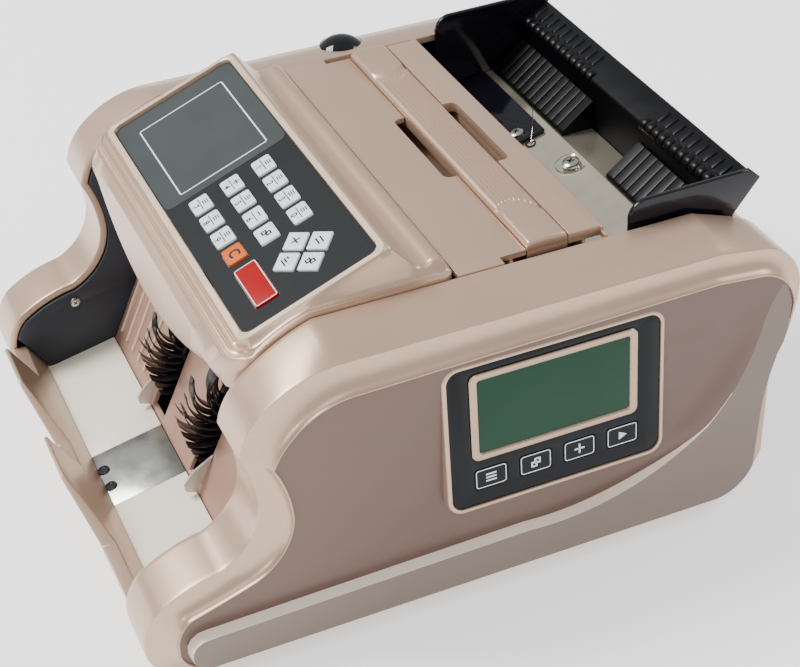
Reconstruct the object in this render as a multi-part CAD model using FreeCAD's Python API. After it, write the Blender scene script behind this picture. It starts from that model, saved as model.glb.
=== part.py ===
import FreeCAD
import Part
import math
import os

# Banknote counting machine, in millimetres.
# X runs across the machine, Y from the stacker (front) to the hopper (rear), Z up.
# The origin is on the table, under the middle of the outer box.

V = FreeCAD.Vector
X_AXIS = V(1, 0, 0)
Y_AXIS = V(0, 1, 0)
Z_AXIS = V(0, 0, 1)

# Driving dimensions
cover_inner_x = 97.0        # inner edge of each side cover
cover_crease_x = 122.5      # crease between the rim and its bevel
cover_edge_x = 128.0        # sharp edge round the recessed side panel
panel_x = 126.8             # recessed side panel
skirt_x = 132.0             # raised lower skirt
skirt_foot = 3.0            # reach of the slope above the skirt
cover_wall = 3.0
frame_x = 95.0              # inner face of the inner frame plates
frame_wall = 1.6
inside_x = 94.6             # pieces between the frame plates end here
base_z = 3.0                # underside of the base, on feet
crown = 5.2                 # rise of the rim from its crease to its inner edge
top_z = 136.0               # top cover
floor_rear = (-93.0, 13.8)  # stacker floor, rear edge
floor_front = (-127.0, 6.3) # stacker floor, front edge
console_tilt = 21.6         # keypad slope, degrees
console_centre = V(0, -51.1, 139.6)
overlay_half_width = 88.3
overlay_half_depth = 30.5
overlay_thick = 1.2
key_travel = 0.4
key_gap = 0.3
hinge_y = 5.4               # console hinge line
hinge_z = 137.0
wheel_y = -67.0             # stacker wheel axis
wheel_z = 45.0
wheel_radius = 29.0
wheel_x = 26.5              # middle of each stacker wheel
wheel_width = 11.5
shaft_radius = 4.0
bore_gap = 0.05             # running clearance of a round piece in its bore
feed_shaft = (38.0, 84.0)
kicker_shaft = (64.0, 89.0)
motor_axis = (20.0, 34.0)
handle_y = (38.3, 56.3)     # front and rear of the handle bar
handle_half = 92.0
knob_centre = (-110.0, 40.6)
display_centre = V(panel_x, 33.0, 81.5)
display_tilt = 4.0          # the display leans back at its top, degrees
display_size = (98.0, 70.0)


def box(x0, x1, y0, y1, z0, z1):
    return Part.makeBox(x1 - x0, y1 - y0, z1 - z0, V(x0, y0, z0))


def cylinder(radius, start, axis, length):
    return Part.makeCylinder(radius, length, start, axis)


def rod_x(radius, x0, x1, y, z):
    return cylinder(radius, V(x0, y, z), X_AXIS, x1 - x0)


def prism_x(points, x0, x1):
    """A (Y, Z) polygon carried from x0 to x1."""
    loop = [V(x0, y, z) for y, z in points]
    loop.append(loop[0])
    return Part.Face(Part.makePolygon(loop)).extrude(V(x1 - x0, 0, 0))


def prism_y(points, y0, y1):
    """An (X, Z) polygon carried from y0 to y1."""
    loop = [V(x, y0, z) for x, z in points]
    loop.append(loop[0])
    return Part.Face(Part.makePolygon(loop)).extrude(V(0, y1 - y0, 0))


def outline_x(start, runs, x):
    """A closed wire at x: each run is an end point, or a middle and an end of an arc."""
    edges = []
    here = V(x, *start)
    for run in runs:
        end = V(x, *run[-1])
        if len(run) == 1:
            edges.append(Part.LineSegment(here, end).toShape())
        else:
            edges.append(Part.Arc(here, V(x, *run[0]), end).toShape())
        here = end
    return Part.Wire(edges)


def rounded_plate(width, depth, thick, corner):
    """A plate centred on the origin, from z = 0 up, with rounded corners."""
    plate = Part.makeBox(width, depth, thick, V(-width / 2, -depth / 2, 0))
    edges = [e for e in plate.Edges if abs(e.tangentAt(e.FirstParameter).z) > 0.99]
    return plate.makeFillet(corner, edges)


def mirror_x(shape):
    return shape.mirror(V(0, 0, 0), X_AXIS)


def on_console(shape):
    """Carry a shape from the keypad's own frame: X across, Y up the slope, Z out."""
    placed = shape.copy()
    placed.rotate(V(0, 0, 0), X_AXIS, console_tilt)
    placed.translate(console_centre)
    return placed


def on_display(shape):
    """Carry a shape from the display's own frame: X to the rear, Y up, Z out."""
    placed = shape.copy()
    placed.rotate(V(0, 0, 0), Z_AXIS, 90)
    placed.rotate(V(0, 0, 0), Y_AXIS, 90)
    placed.rotate(V(0, 0, 0), Y_AXIS, -display_tilt)
    placed.translate(display_centre)
    return placed


def group(shapes):
    return Part.makeCompound(shapes)


os.makedirs("parts", exist_ok=True)
saved = {}


def save(name, shape):
    if len(shape.Solids) == 1 and shape.ShapeType != "Solid":
        shape = shape.Solids[0]
    shape.exportStep("parts/" + name + ".step")
    saved[name] = shape


# Screws with pan heads, and the holes their shanks run in

screws = []
screw_holes = []


def screw(x, y, z, axis, radius, height, shank, length):
    start = V(x, y, z)
    head = cylinder(radius, start, axis, height)
    body = cylinder(shank, start - axis * length, axis, length)
    screws.append(head.fuse(body).removeSplitter())
    screw_holes.append(cylinder(shank + bore_gap, start - axis * length, axis, length))


hopper_floor_top = [(75.0, 102.4), (112.0, 112.4), (128.4, 112.4)]
floor_slope = (112.4 - 102.4) / (112.0 - 75.0)
floor_lean = math.atan(floor_slope)
floor_out = V(0, -math.sin(floor_lean), math.cos(floor_lean))
bracket_thick = 1.2
bracket_x = (-92.0, -27.0)
bracket_y = (84.5, 108.0)


def floor_z(y):
    """Height of the sloping part of the hopper floor."""
    return hopper_floor_top[0][1] + floor_slope * (y - hopper_floor_top[0][0])


screw(3.0, 106.0, floor_z(106.0), floor_out, 4.1, 1.6, 1.4, 4.0)
screw(-34.0, 97.0, floor_z(97.0) + bracket_thick, floor_out, 3.6, 1.5, 1.4, 4.0)
screw(-frame_x, -109.0, 39.5, X_AXIS, 2.6, 1.2, 1.3, 1.4)
screw(frame_x, -109.0, 39.5, V(-1, 0, 0), 2.6, 1.2, 1.3, 1.4)
save("visible_screws", group(screws))


# Side covers: the rim, seen from the side, clockwise from its top rear corner

def rim_outline(x, rise):
    start = (110.0, 130.4 + rise)
    runs = [
        [(-56.0, 130.5 + rise)],
        [(-71.5, 127.3 + 0.3 * rise), (-84.5, 119.8)],
        [(-92.2, 111.8), (-97.0, 100.2)],
        [(-92.8, 88.0), (-91.2, 75.1)],
        [(-96.0, 60.0), (-109.0, 48.8)],
        [(-124.0, 44.3), (-136.0, 37.3)],
        [(-141.8, 28.0), (-143.2, 18.0)],
        [(-138.6, 7.6), (-128.0, base_z)],
        [(118.0, base_z)],
        [(131.0, 8.5), (138.3, 20.0)],
        [(138.4, 49.0)],
        [(139.4, 64.0), (143.0, 78.2)],
        [(147.6, 91.0), (149.0, 104.8)],
        [(143.6, 119.0), (129.0, 127.4 + 0.3 * rise)],
        [start],
    ]
    return outline_x(start, runs, x)


def panel_outline(x):
    start = (106.0, 120.7)
    runs = [
        [(-48.0, 118.6)],
        [(-65.9, 115.1), (-78.0, 106.0)],
        [(-82.4, 100.6), (-85.8, 94.0)],
        [(-81.2, 81.0), (-79.6, 68.5)],
        [(-84.4, 53.6), (-97.0, 42.4)],
        [(-112.0, 37.2), (-125.0, 33.0)],
        [(-129.6, 27.0), (-131.0, 19.0)],
        [(-128.2, 9.8), (-119.0, 5.4)],
        [(112.0, 5.4)],
        [(124.0, 10.6), (131.2, 21.0)],
        [(132.4, 47.0)],
        [(134.0, 63.0), (137.4, 77.0)],
        [(142.0, 89.0), (143.8, 100.0)],
        [(138.4, 112.2), (126.0, 118.6)],
        [start],
    ]
    return outline_x(start, runs, x)


def rounded_skirt(x, grow):
    """The lower skirt, whose upper edge stands grow above its ridge."""
    start = (-118.0, 5.4)
    runs = [
        [(-124.6 - grow, 10.5), (-126.6 - grow, 16.0)],
        [(-125.2 - 0.7 * grow, 21.6 + 0.7 * grow), (-119.0, 24.2 + grow)],
        [(20.0, 26.6 + grow)],
        [(70.0 - 0.2 * grow, 33.0 + grow), (103.0 - 0.6 * grow, 52.0 + 0.6 * grow)],
        [(119.0 - 0.8 * grow, 74.0 + 0.4 * grow), (128.0 - 0.9 * grow, 92.0 + 0.4 * grow)],
        [(132.0 - 0.8 * grow, 101.5 + 0.6 * grow), (138.5 - 0.8 * grow, 111.0 + 0.6 * grow)],
        [(155.0, 111.0 + 0.6 * grow)],
        [(155.0, 5.4)],
        [start],
    ]
    return outline_x(start, runs, x)


def inner_block(x0, x1, inset):
    """The rim's outline drawn in by inset, carried from x0 to x1."""
    face = Part.Face(rim_outline(x0, 0.0))
    smaller = face.makeOffset2D(-inset)
    return smaller.extrude(V(x1 - x0, 0, 0))


def plain_side_cover():
    rim = Part.makeLoft([rim_outline(cover_inner_x, crown), rim_outline(cover_crease_x, 0.0)], True, True)
    bevel = Part.makeLoft([rim_outline(cover_crease_x, 0.0), panel_outline(cover_edge_x)], True, True)
    cover = rim.fuse(bevel)
    lip = Part.Face(panel_outline(panel_x)).makeOffset2D(-0.8)
    cover = cover.cut(lip.extrude(V(10, 0, 0)))
    hollow = inner_block(cover_inner_x - 5, cover_crease_x - cover_wall, cover_wall)
    cover = cover.cut(hollow)
    room = Part.Face(panel_outline(cover_crease_x - cover_wall - 1)).makeOffset2D(-cover_wall)
    cover = cover.cut(room.extrude(V(panel_x - cover_wall - cover_crease_x + cover_wall + 1, 0, 0)))
    skirt = Part.makeLoft([rounded_skirt(panel_x - 1.0, skirt_foot), rounded_skirt(skirt_x, 0.0)], True, True)
    steps = []
    for x, inset in ((panel_x - 1.0, 0.3), (cover_edge_x - 0.2, 0.4), (skirt_x, 3.6)):
        face = Part.Face(panel_outline(x)).makeOffset2D(-inset)
        steps.append(face.OuterWire)
    limit = Part.makeLoft(steps, True, True)
    return cover.fuse(skirt.common(limit))


# Display on the right side cover

display_back = -1.6         # back of the black panel, in the display's frame
display_front = 2.76        # front of the rose housing
panel_size = (93.6, 65.6)
lcd_size = (67.0, 34.0)
lcd_middle = (-0.5, 9.0)
frame_size = (74.5, 41.0)
side_key_size = (14.2, 9.6)
side_keys = {
    "side_key_function": -29.6,
    "side_key_batch": -9.7,
    "side_key_add": 10.1,
    "side_key_start": 29.8,
}
side_key_row = -20.8


def display_housing():
    body = rounded_plate(display_size[0], display_size[1], display_front + 6.0, 7.0)
    body.translate(V(0, 0, -6.0))
    pocket = rounded_plate(panel_size[0] + 0.4, panel_size[1] + 0.4, 10.0, 5.2)
    pocket.translate(V(0, 0, display_back))
    body = on_display(body.cut(pocket))
    keep = box(panel_x - cover_wall, panel_x + 20, -80, 120, 20, 130)
    return body.common(keep)


def display_pocket():
    pocket = rounded_plate(panel_size[0] + 0.4, panel_size[1] + 0.4, 10.0, 5.2)
    pocket.translate(V(0, 0, display_back))
    return on_display(pocket)


right_cover = plain_side_cover().fuse(display_housing()).cut(display_pocket()).removeSplitter()
save("right_side_cover", right_cover)

knob_stem_radius = 3.0
dome_radius = 10.4
dome_height = 4.6
knob_base_z = 134.3
left_cover = mirror_x(plain_side_cover())
knob_hole = cylinder(knob_stem_radius + 0.08, V(knob_centre[0], knob_centre[1], 100), Z_AXIS, 60)
knob_seat = cylinder(dome_radius + 0.5, V(knob_centre[0], knob_centre[1], knob_base_z - 0.4), Z_AXIS, 10)
save("left_side_cover", left_cover.cut(knob_hole).cut(knob_seat).removeSplitter())

panel_thick = 3.6
panel = rounded_plate(panel_size[0], panel_size[1], panel_thick, 5.0)
window = rounded_plate(frame_size[0], frame_size[1], 10, 3.0)
window.translate(V(lcd_middle[0], lcd_middle[1], panel_thick - 1.4))
panel = panel.cut(window)
for middle in side_keys.values():
    hole = rounded_plate(side_key_size[0] + 2 * key_gap, side_key_size[1] + 2 * key_gap, 10, 1.6)
    hole.translate(V(middle, side_key_row, panel_thick - 1.9))
    panel = panel.cut(hole)
panel.translate(V(0, 0, display_back + 0.1))
save("display_panel", on_display(panel))
panel_face = display_back + 0.1 + panel_thick

frame = rounded_plate(frame_size[0] - 0.3, frame_size[1] - 0.3, 2.2, 2.8)
glass_hole = rounded_plate(lcd_size[0] + 0.2, lcd_size[1] + 0.2, 10, 1.1)
glass_hole.translate(V(0, 0, -1))
frame = frame.cut(glass_hole)
frame.translate(V(lcd_middle[0], lcd_middle[1], panel_face - 1.35))
save("display_frame", on_display(frame))

glass = rounded_plate(lcd_size[0], lcd_size[1], 1.5, 1.0)
glass.translate(V(lcd_middle[0], lcd_middle[1], panel_face - 1.35))
save("display_lcd", on_display(glass))

for name, middle in side_keys.items():
    key = rounded_plate(side_key_size[0], side_key_size[1], 1.2, 1.3)
    key.translate(V(middle, side_key_row, panel_face - 1.2 + 0.15))
    save(name, on_display(key))


# Base, frame plates and rear cover

ledge = 21.0                # top of the front guard between its fins
fin_top = 38.5
guard_side = [
    (-127.2, base_z), (-127.2, 7.2), (-135.6, ledge), (-146.6, 37.2), (-147.2, fin_top),
    (-148.6, fin_top), (-149.0, 37.4), (-142.0, ledge), (-138.0, 9.0), (-134.0, base_z),
]

rear_foot_y = 108.0
front_foot_y = -102.0
foot_x = 78.0
foot_radius = 8.0
base_rear = 118.0

base = box(-inside_x, inside_x, guard_side[0][0], base_rear, base_z, base_z + 3)
side_wall = box(inside_x - 2, inside_x, -90, base_rear, base_z + 3, base_z + 9)
base = base.fuse(side_wall).fuse(mirror_x(side_wall)).removeSplitter()
save("base_tray", base)

feet = []
for x in (-foot_x, foot_x):
    for y in (front_foot_y, rear_foot_y):
        foot = cylinder(foot_radius, V(x, y, 0), Z_AXIS, base_z)
        feet.append(foot)
save("rubber_feet", group(feet))


def frame_plate():
    plate = inner_block(frame_x, frame_x + frame_wall, 3.6)
    ahead = [(y + 0.4, z + 0.3) for y, z in guard_side[:4]]
    ahead = [(ahead[0][0], 0)] + ahead[1:] + [(-170.0, ahead[-1][1]), (-170.0, 0)]
    plate = plate.cut(prism_x(ahead, 90, 100))
    plate = plate.cut(box(90, 100, 142.8, 160, 84.0, 140))
    plate = plate.cut(box(90, 100, -100, 160, 127.0, 140))
    plate = plate.cut(box(90, 100, 72, 160, 100.0, 140))
    for y, z in ((wheel_y, wheel_z), feed_shaft, kicker_shaft):
        plate = plate.cut(rod_x(shaft_radius + bore_gap, 90, 100, y, z))
    return plate


right_frame = frame_plate()
motor_shaft_radius = 3.0
left_frame = mirror_x(frame_plate())
left_frame = left_frame.cut(rod_x(motor_shaft_radius + bore_gap, -100, -90, *motor_axis))
drilled = [plate.cut(group(screw_holes)) for plate in (left_frame, right_frame)]
save("frame_plates", group(drilled))

rear_wall = 2.5
rear_outer = [
    (120.6, base_z), (131.6, 9.0), (138.0, 20.0), (138.0, 50.0), (139.2, 65.0), (142.6, 78.0),
    (146.8, 91.0), (148.2, 104.0), (145.0, 115.0), (140.0, 120.8), (133.6, 124.6),
]
rear_inner = [(y - rear_wall, z) for y, z in rear_outer[:8]]
rear_inner += [(143.0, 113.0), (138.8, 118.4), (133.6, 121.8)]
rear_cover = prism_x(rear_outer + rear_inner[::-1], -96.6, 96.6)
inlet_x = (54.0, 82.0)
inlet_z = (24.0, 44.0)
switch_x = (20.0, 41.0)
switch_z = (26.0, 41.0)
rear_cover = rear_cover.cut(box(inlet_x[0], inlet_x[1], 130, 150, *inlet_z))
rear_cover = rear_cover.cut(box(switch_x[0], switch_x[1], 130, 150, *switch_z))
for row in range(6):
    slot = box(-80, -30, 130, 150, 24 + 5 * row, 26.4 + 5 * row)
    rear_cover = rear_cover.cut(slot)
save("rear_cover", rear_cover)


# Console: a tilted keypad box that hinges up at its rear edge

console_front = -93.0
console_under = 110.0
overlay_pocket = 1.4        # depth of the overlay's seat

console_section = [
    (-93.0, console_under), (-95.2, 116.0), (-93.6, 119.6), (-90.6, 122.6), (-85.0, 127.0),
    (-82.4, 129.2), (-20.2, 153.8), (-9.5, 141.5), (-5.0, 141.0), (-1.5, 142.6),
    (2.2, 141.2), (4.8, 137.0), (4.8, 131.0), (-20.0, 128.0), (-46.0, console_under),
]
console = prism_x(console_section, -96.7, 96.7)


def side_slope():
    """Material above the sloping end of the console."""
    wires = []
    for y, high, low in ((-100.0, 124.0, 119.0), (5.0, 165.7, 140.0)):
        loop = [V(91.2, y, high), V(97.0, y, low), V(97.0, y, 190), V(91.2, y, 190)]
        loop.append(loop[0])
        wires.append(Part.makePolygon(loop))
    return Part.makeLoft(wires, True, True)


console = console.cut(side_slope()).cut(mirror_x(side_slope()))
beside_frame = inner_block(inside_x, 100, 2.6)
console = console.cut(beside_frame).cut(mirror_x(beside_frame))
hollow_section = [
    (-89.0, 113.5), (-88.0, 118.5), (-82.0, 123.5), (-21.0, 147.6), (-11.0, 136.0),
    (-1.0, 134.5), (-21.5, 130.5), (-45.0, 113.5),
]
console = console.cut(prism_x(hollow_section, -88.5, 88.5))
seat = rounded_plate(2 * overlay_half_width + 0.4, 2 * overlay_half_depth + 0.4, 20, 4.2)
seat.translate(V(0, 0, -overlay_thick))
console = console.cut(on_console(seat))

key_thick = 3.2
key_proud = 0.9
key_size = (10.8, 8.9)
start_size = (27.0, 10.4)
diamond = (6.9, 6.4)
key_rows = (14.6, -1.0, -16.4)
key_columns = (-2.0, 12.0, 26.0, 39.8)
square_keys = {
    "key_1": (0, 0), "key_2": (1, 0), "key_3": (2, 0), "key_0": (3, 0),
    "key_4": (0, 1), "key_5": (1, 1), "key_6": (2, 1), "key_batch": (3, 1),
    "key_7": (0, 2), "key_8": (1, 2), "key_9": (2, 2), "key_clear": (3, 2),
}
start_middle = (63.6, -15.8)
diamond_keys = {
    "key_add": (54.6, 6.7), "key_total": (62.6, 14.5),
    "key_sort": (62.6, -1.1), "key_current": (70.6, 6.7),
}


def square_key(grow):
    return rounded_plate(key_size[0] + 2 * grow, key_size[1] + 2 * grow, key_thick, 1.2)


def start_key(grow):
    return rounded_plate(start_size[0] + 2 * grow, start_size[1] + 2 * grow, key_thick, 1.2)


def diamond_key(grow):
    across = diamond[0] + 1.4 * grow
    along = diamond[1] + 1.4 * grow
    loop = [V(across, 0, 0), V(0, along, 0), V(-across, 0, 0), V(0, -along, 0), V(across, 0, 0)]
    return Part.Face(Part.makePolygon(loop)).extrude(V(0, 0, key_thick))


def keys(grow):
    """Every console key by name, in the keypad's frame."""
    made = {}
    for name, (column, row) in square_keys.items():
        made[name] = square_key(grow)
        made[name].translate(V(key_columns[column], key_rows[row], 0))
    for name, (x, y) in diamond_keys.items():
        made[name] = diamond_key(grow)
        made[name].translate(V(x, y, 0))
    made["key_start"] = start_key(grow)
    made["key_start"].translate(V(start_middle[0], start_middle[1], 0))
    return made


key_base = key_proud - key_thick
overlay = rounded_plate(2 * overlay_half_width, 2 * overlay_half_depth, overlay_thick, 4.0)
overlay.translate(V(0, 0, -overlay_thick))
screen_size = (62.0, 45.4)
screen_middle = (-46.6, 0.6)
screen_hole = rounded_plate(screen_size[0] + 0.2, screen_size[1] + 0.2, 20, 1.1)
screen_hole.translate(V(screen_middle[0], screen_middle[1], -10))
overlay = overlay.cut(screen_hole)
console = console.cut(on_console(screen_hole.common(Part.makeBox(200, 100, 7.9, V(-100, -50, -8)))))
wells = keys(key_gap)
for well in wells.values():
    well.translate(V(0, 0, key_base - key_travel - 0.3))
    tall = well.fuse(well.translated(V(0, 0, 2.0)))
    overlay = overlay.cut(tall)
    console = console.cut(on_console(tall))
save("console_overlay", on_console(overlay))
save("console_housing", console.removeSplitter())
for name, key in keys(0.0).items():
    key.translate(V(0, 0, key_base))
    save(name, on_console(key))
screen = rounded_plate(screen_size[0], screen_size[1], 3.2, 1.0)
screen.translate(V(screen_middle[0], screen_middle[1], -3.3))
save("console_screen", on_console(screen))


# Top cover with the handle's trough, and the carrying handle

cover_under = 133.4
trough_floor = 119.0
strip_z = 138.0
top = box(-96.7, 96.7, 6.0, 57.0, cover_under, top_z)
top = top.fuse(box(-93.0, 93.0, 57.0, 72.0, cover_under, strip_z))
top = top.fuse(box(-96.7, 96.7, 57.0, 72.0, cover_under, top_z))
trough = box(-94.4, 94.4, 30.5, 64.5, trough_floor - 2, cover_under)
trough = trough.cut(box(-93.0, 93.0, 32.0, 63.0, trough_floor, 150))
top = top.cut(box(-92.9, 92.9, handle_y[0] - 0.5, handle_y[1] + 0.5, 125, 150)).fuse(trough)
finger_corner = 3.2
for y0, y1, outer in ((32.2, 39.0, 32.2), (55.5, 62.6, 62.6)):
    opening = box(-28.0, 28.0, y0, y1, cover_under - 1, 150)
    uprights = [e for e in opening.Edges if abs(e.tangentAt(e.FirstParameter).z) > 0.99]
    outer_corners = [e for e in uprights if abs(e.Vertexes[0].Point.y - outer) < 0.01]
    top = top.cut(opening.makeFillet(finger_corner, outer_corners))
for side in (-1, 1):
    end_slot = box(-2.4, 2.4, 26.0, 71.0, cover_under - 1, 150)
    end_slot.translate(V(side * 94.3, 0, 0))
    top = top.cut(end_slot)
leg_x = 88.0
leg_width = (3.0, 13.0)
for side in (-1, 1):
    leg_slot = box(-leg_width[0] / 2 - 0.5, leg_width[0] / 2 + 0.5, 47.3 - 7.0, 47.3 + 7.0, 110, 125)
    leg_slot.translate(V(side * leg_x, 0, 0))
    top = top.cut(leg_slot)
save("top_cover", top.removeSplitter())

bar_low = 130.8
bar_high = 138.6
end_high = 139.8
bar = box(-handle_half, handle_half, handle_y[0], handle_y[1], bar_low, bar_high)
for side in (-1, 1):
    end_cap = box(-18.0, 18.0, handle_y[0], handle_y[1], bar_high, end_high)
    end_cap.translate(V(side * (handle_half - 18.0), 0, 0))
    bar = bar.fuse(end_cap)
    leg = box(-leg_width[0] / 2, leg_width[0] / 2, 47.3 - 6.5, 47.3 + 6.5, 92.0, bar_low)
    stop = box(-3.0, 3.0, 47.3 - 6.5, 47.3 + 6.5, 90.0, 92.0)
    leg = leg.fuse(stop)
    leg.translate(V(side * leg_x, 0, 0))
    bar = bar.fuse(leg)
rib_count = 9
rib_half = 59.0
for index in range(rib_count):
    y = handle_y[0] + 1.6 + index * 1.85
    bar = bar.fuse(box(-rib_half, rib_half, y, y + 0.9, bar_high, bar_high + 0.4))
save("carry_handle", bar.removeSplitter())


# Feed gap knob on the left cover, and the plate it raises

sphere_radius = (dome_radius ** 2 + dome_height ** 2) / (2 * dome_height)
dome = Part.makeSphere(sphere_radius, V(0, 0, knob_base_z + dome_height - sphere_radius))
dome = dome.common(cylinder(dome_radius, V(0, 0, knob_base_z), Z_AXIS, 10))
stem = cylinder(knob_stem_radius, V(0, 0, 116.0), Z_AXIS, knob_base_z - 116.0)
knob = dome.fuse(stem)
knob.translate(V(knob_centre[0], knob_centre[1], 0))
save("feed_gap_knob", knob)
gap_plate = box(-60, 60, feed_shaft[0] - 12, feed_shaft[0] + 12, 106.0, 112.0)
save("gap_plate", gap_plate)


# Hopper: sloping floor, ramps, side guides and rear guard

floor_thick = 1.5
under = [(y, z - floor_thick) for y, z in hopper_floor_top]
hopper_floor = prism_x(hopper_floor_top + under[::-1], -92.3, 92.3)
save("hopper_floor", hopper_floor.cut(group(screw_holes)))

ramp_section = [(112.2, 112.5), (112.2, 114.0), (128.4, 126.6), (128.4, 112.5)]
ramps = []
for x0, x1 in ((-91.8, -18.0), (24.0, 91.8)):
    ramp = prism_x(ramp_section, x0, x1)
    for index in range(6):
        middle = (x1 - 5.5 - 5.5 * index) if x0 < 0 else (x0 + 5.5 + 5.5 * index)
        groove = prism_x([(110, 114.4), (110, 120), (130, 135.6), (130, 126.4)], middle - 0.6, middle + 0.6)
        ramp = ramp.cut(groove)
    ramps.append(ramp)
save("feed_ramps", group(ramps))

guide_section = [
    (83.0, 104.4), (83.0, 140.0), (84.5, 144.0), (88.5, 146.2), (139.0, 147.0),
    (144.2, 142.2), (132.2, 126.8), (132.2, 112.0), (112.0, 108.0), (100.0, 105.0),
]
guide = prism_x(guide_section, 92.6, 94.8)
save("right_feed_guide", guide)
save("left_feed_guide", mirror_x(guide))

guard_section = [
    (128.8, 110.0), (128.8, 135.0), (142.6, 142.2), (143.6, 139.8), (131.6, 133.0), (131.6, 110.0),
]
guard = prism_x(guard_section, -92.3, 92.3)
rib_section = [(129.4, 135.2), (129.0, 136.6), (141.4, 143.0), (142.4, 142.0)]
for side in (-1, 1):
    for index in range(9):
        middle = side * (29.0 + 7.0 * index)
        guard = guard.fuse(prism_x(rib_section, middle - 1.6, middle + 1.6))
save("rear_note_guard", guard.removeSplitter())

bracket_front = (bracket_y[0], floor_z(bracket_y[0]))
bracket_rear = (bracket_y[1], floor_z(bracket_y[1]))
bracket_sole = [
    bracket_front, (bracket_front[0], bracket_front[1] + bracket_thick),
    (bracket_rear[0], bracket_rear[1] + bracket_thick), bracket_rear,
]
bracket = prism_x(bracket_sole, *bracket_x)
notch = box(-64.0, -56.0, bracket_y[0] - 1, bracket_y[0] + 6, 100, 120)
save("feed_bracket", bracket.cut(notch).cut(group(screw_holes)).removeSplitter())


# Feed train: feed roller, kicker roller, motor and belts

belt_x = {"motor": -101.0, "kicker": -106.0, "stacker": -111.0}
belt_width = 4.0
belt_gap = 0.2
belt_thick = 1.2
pulley = {"motor": 7.0, "feed": 12.0, "kicker": 9.0, "stacker": 9.0}


def disc(kind, radius, y, z):
    middle = belt_x[kind]
    return rod_x(radius, middle - belt_width / 2 - 0.2, middle + belt_width / 2 + 0.2, y, z)


def shaft(y, z, left, right):
    return rod_x(shaft_radius, left, right, y, z)


feed = shaft(*feed_shaft, -114.0, 99.0)
for x0, x1 in ((-52, -30), (-12, 12), (30, 52)):
    feed = feed.fuse(rod_x(16.0, x0, x1, *feed_shaft))
for kind in belt_x:
    feed = feed.fuse(disc(kind, pulley["feed"], *feed_shaft))
save("feed_roller", feed.removeSplitter())

kicker = shaft(*kicker_shaft, -109.0, 99.0)
for x0, x1 in ((-44, -28), (28, 44)):
    kicker = kicker.fuse(rod_x(9.6, x0, x1, *kicker_shaft))
kicker = kicker.fuse(disc("kicker", pulley["kicker"], *kicker_shaft))
save("kicker_roller", kicker.removeSplitter())

save("main_motor", rod_x(21.0, -94.9, -38.0, *motor_axis))
motor_pulley = rod_x(motor_shaft_radius, -104.0, -94.95, *motor_axis)
motor_pulley = motor_pulley.fuse(disc("motor", pulley["motor"], *motor_axis))
save("motor_pulley", motor_pulley.removeSplitter())


def belt(kind, first, first_radius, second, second_radius):
    """An open belt round two pulleys: the hull of two discs, less the discs."""
    x0 = belt_x[kind] - belt_width / 2
    x1 = belt_x[kind] + belt_width / 2
    dy = second[0] - first[0]
    dz = second[1] - first[1]
    span = math.hypot(dy, dz)
    lean = math.asin((first_radius - second_radius) / span)
    along = math.atan2(dz, dy)

    def hull(grow):
        points = []
        for sign in (1, -1):
            angle = along + sign * (math.pi / 2 - lean)
            side = [(math.cos(angle), math.sin(angle))] * 2
            pair = []
            for (y, z), radius, (cy, cz) in zip((first, second), (first_radius, second_radius), side):
                pair.append((y + (radius + grow) * cy, z + (radius + grow) * cz))
            points += pair if sign == 1 else pair[::-1]
        solid = prism_x(points, x0, x1)
        solid = solid.fuse(rod_x(first_radius + grow, x0, x1, *first))
        return solid.fuse(rod_x(second_radius + grow, x0, x1, *second)).removeSplitter()

    return hull(belt_gap + belt_thick).cut(hull(belt_gap))


belts = [
    belt("motor", motor_axis, pulley["motor"], feed_shaft, pulley["feed"]),
    belt("kicker", feed_shaft, pulley["feed"], kicker_shaft, pulley["kicker"]),
    belt("stacker", feed_shaft, pulley["feed"], (wheel_y, wheel_z), pulley["stacker"]),
]
save("drive_belts", group(belts))


# Stacker: shaft, two vaned wheels, floor, guards

stacker_shaft = shaft(wheel_y, wheel_z, -114.0, 99.0)
stacker_shaft = stacker_shaft.fuse(disc("stacker", pulley["stacker"], wheel_y, wheel_z))
save("stacker_shaft", stacker_shaft.removeSplitter())

vane_count = 16
hub_radius = 11.0
vane_sweep = 42.0           # the tip trails the root by this angle, degrees
vane_thick = 1.2


def vane(angle):
    """One thin curved vane from the hub to the wheel's rim, its tip trailing."""
    root = hub_radius - 1.5
    middle = (root + wheel_radius) / 2

    def point(radius, turn, side):
        at = math.radians(angle - turn) + side * vane_thick / 2 / radius
        return (radius * math.cos(at), radius * math.sin(at))

    turns = ((root, 0.0), (middle, 0.34 * vane_sweep), (wheel_radius, vane_sweep))
    lead = [point(radius, turn, 1) for radius, turn in turns]
    trail = [point(radius, turn, -1) for radius, turn in turns]
    runs = [[lead[1], lead[2]], [trail[2]], [trail[1], trail[0]], [lead[0]]]
    return Part.Face(outline_x(lead[0], runs, 0)).extrude(V(wheel_width, 0, 0))


def stacker_wheel(middle):
    wheel = rod_x(hub_radius, 0, wheel_width, 0, 0)
    for index in range(vane_count):
        wheel = wheel.fuse(vane(360.0 / vane_count * index))
    wheel = wheel.cut(rod_x(shaft_radius, -1, wheel_width + 1, 0, 0))
    wheel.translate(V(middle - wheel_width / 2, wheel_y, wheel_z))
    return wheel.removeSplitter()


save("left_stacker_wheel", stacker_wheel(-wheel_x))
save("right_stacker_wheel", stacker_wheel(wheel_x))

sensor_half = 18.5
floor_drop = 2.0
floor_section = [
    floor_front, floor_rear,
    (floor_rear[0], floor_rear[1] - floor_drop), (floor_front[0], floor_front[1] - floor_drop + 1.7),
]
left_floor = prism_x(floor_section, -inside_x, -sensor_half)
right_floor = prism_x(floor_section, sensor_half, inside_x)
save("stacker_floor", group([left_floor, right_floor]))
save("stacker_sensor_plate", prism_x(floor_section, -sensor_half + 0.2, sensor_half - 0.2))

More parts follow.
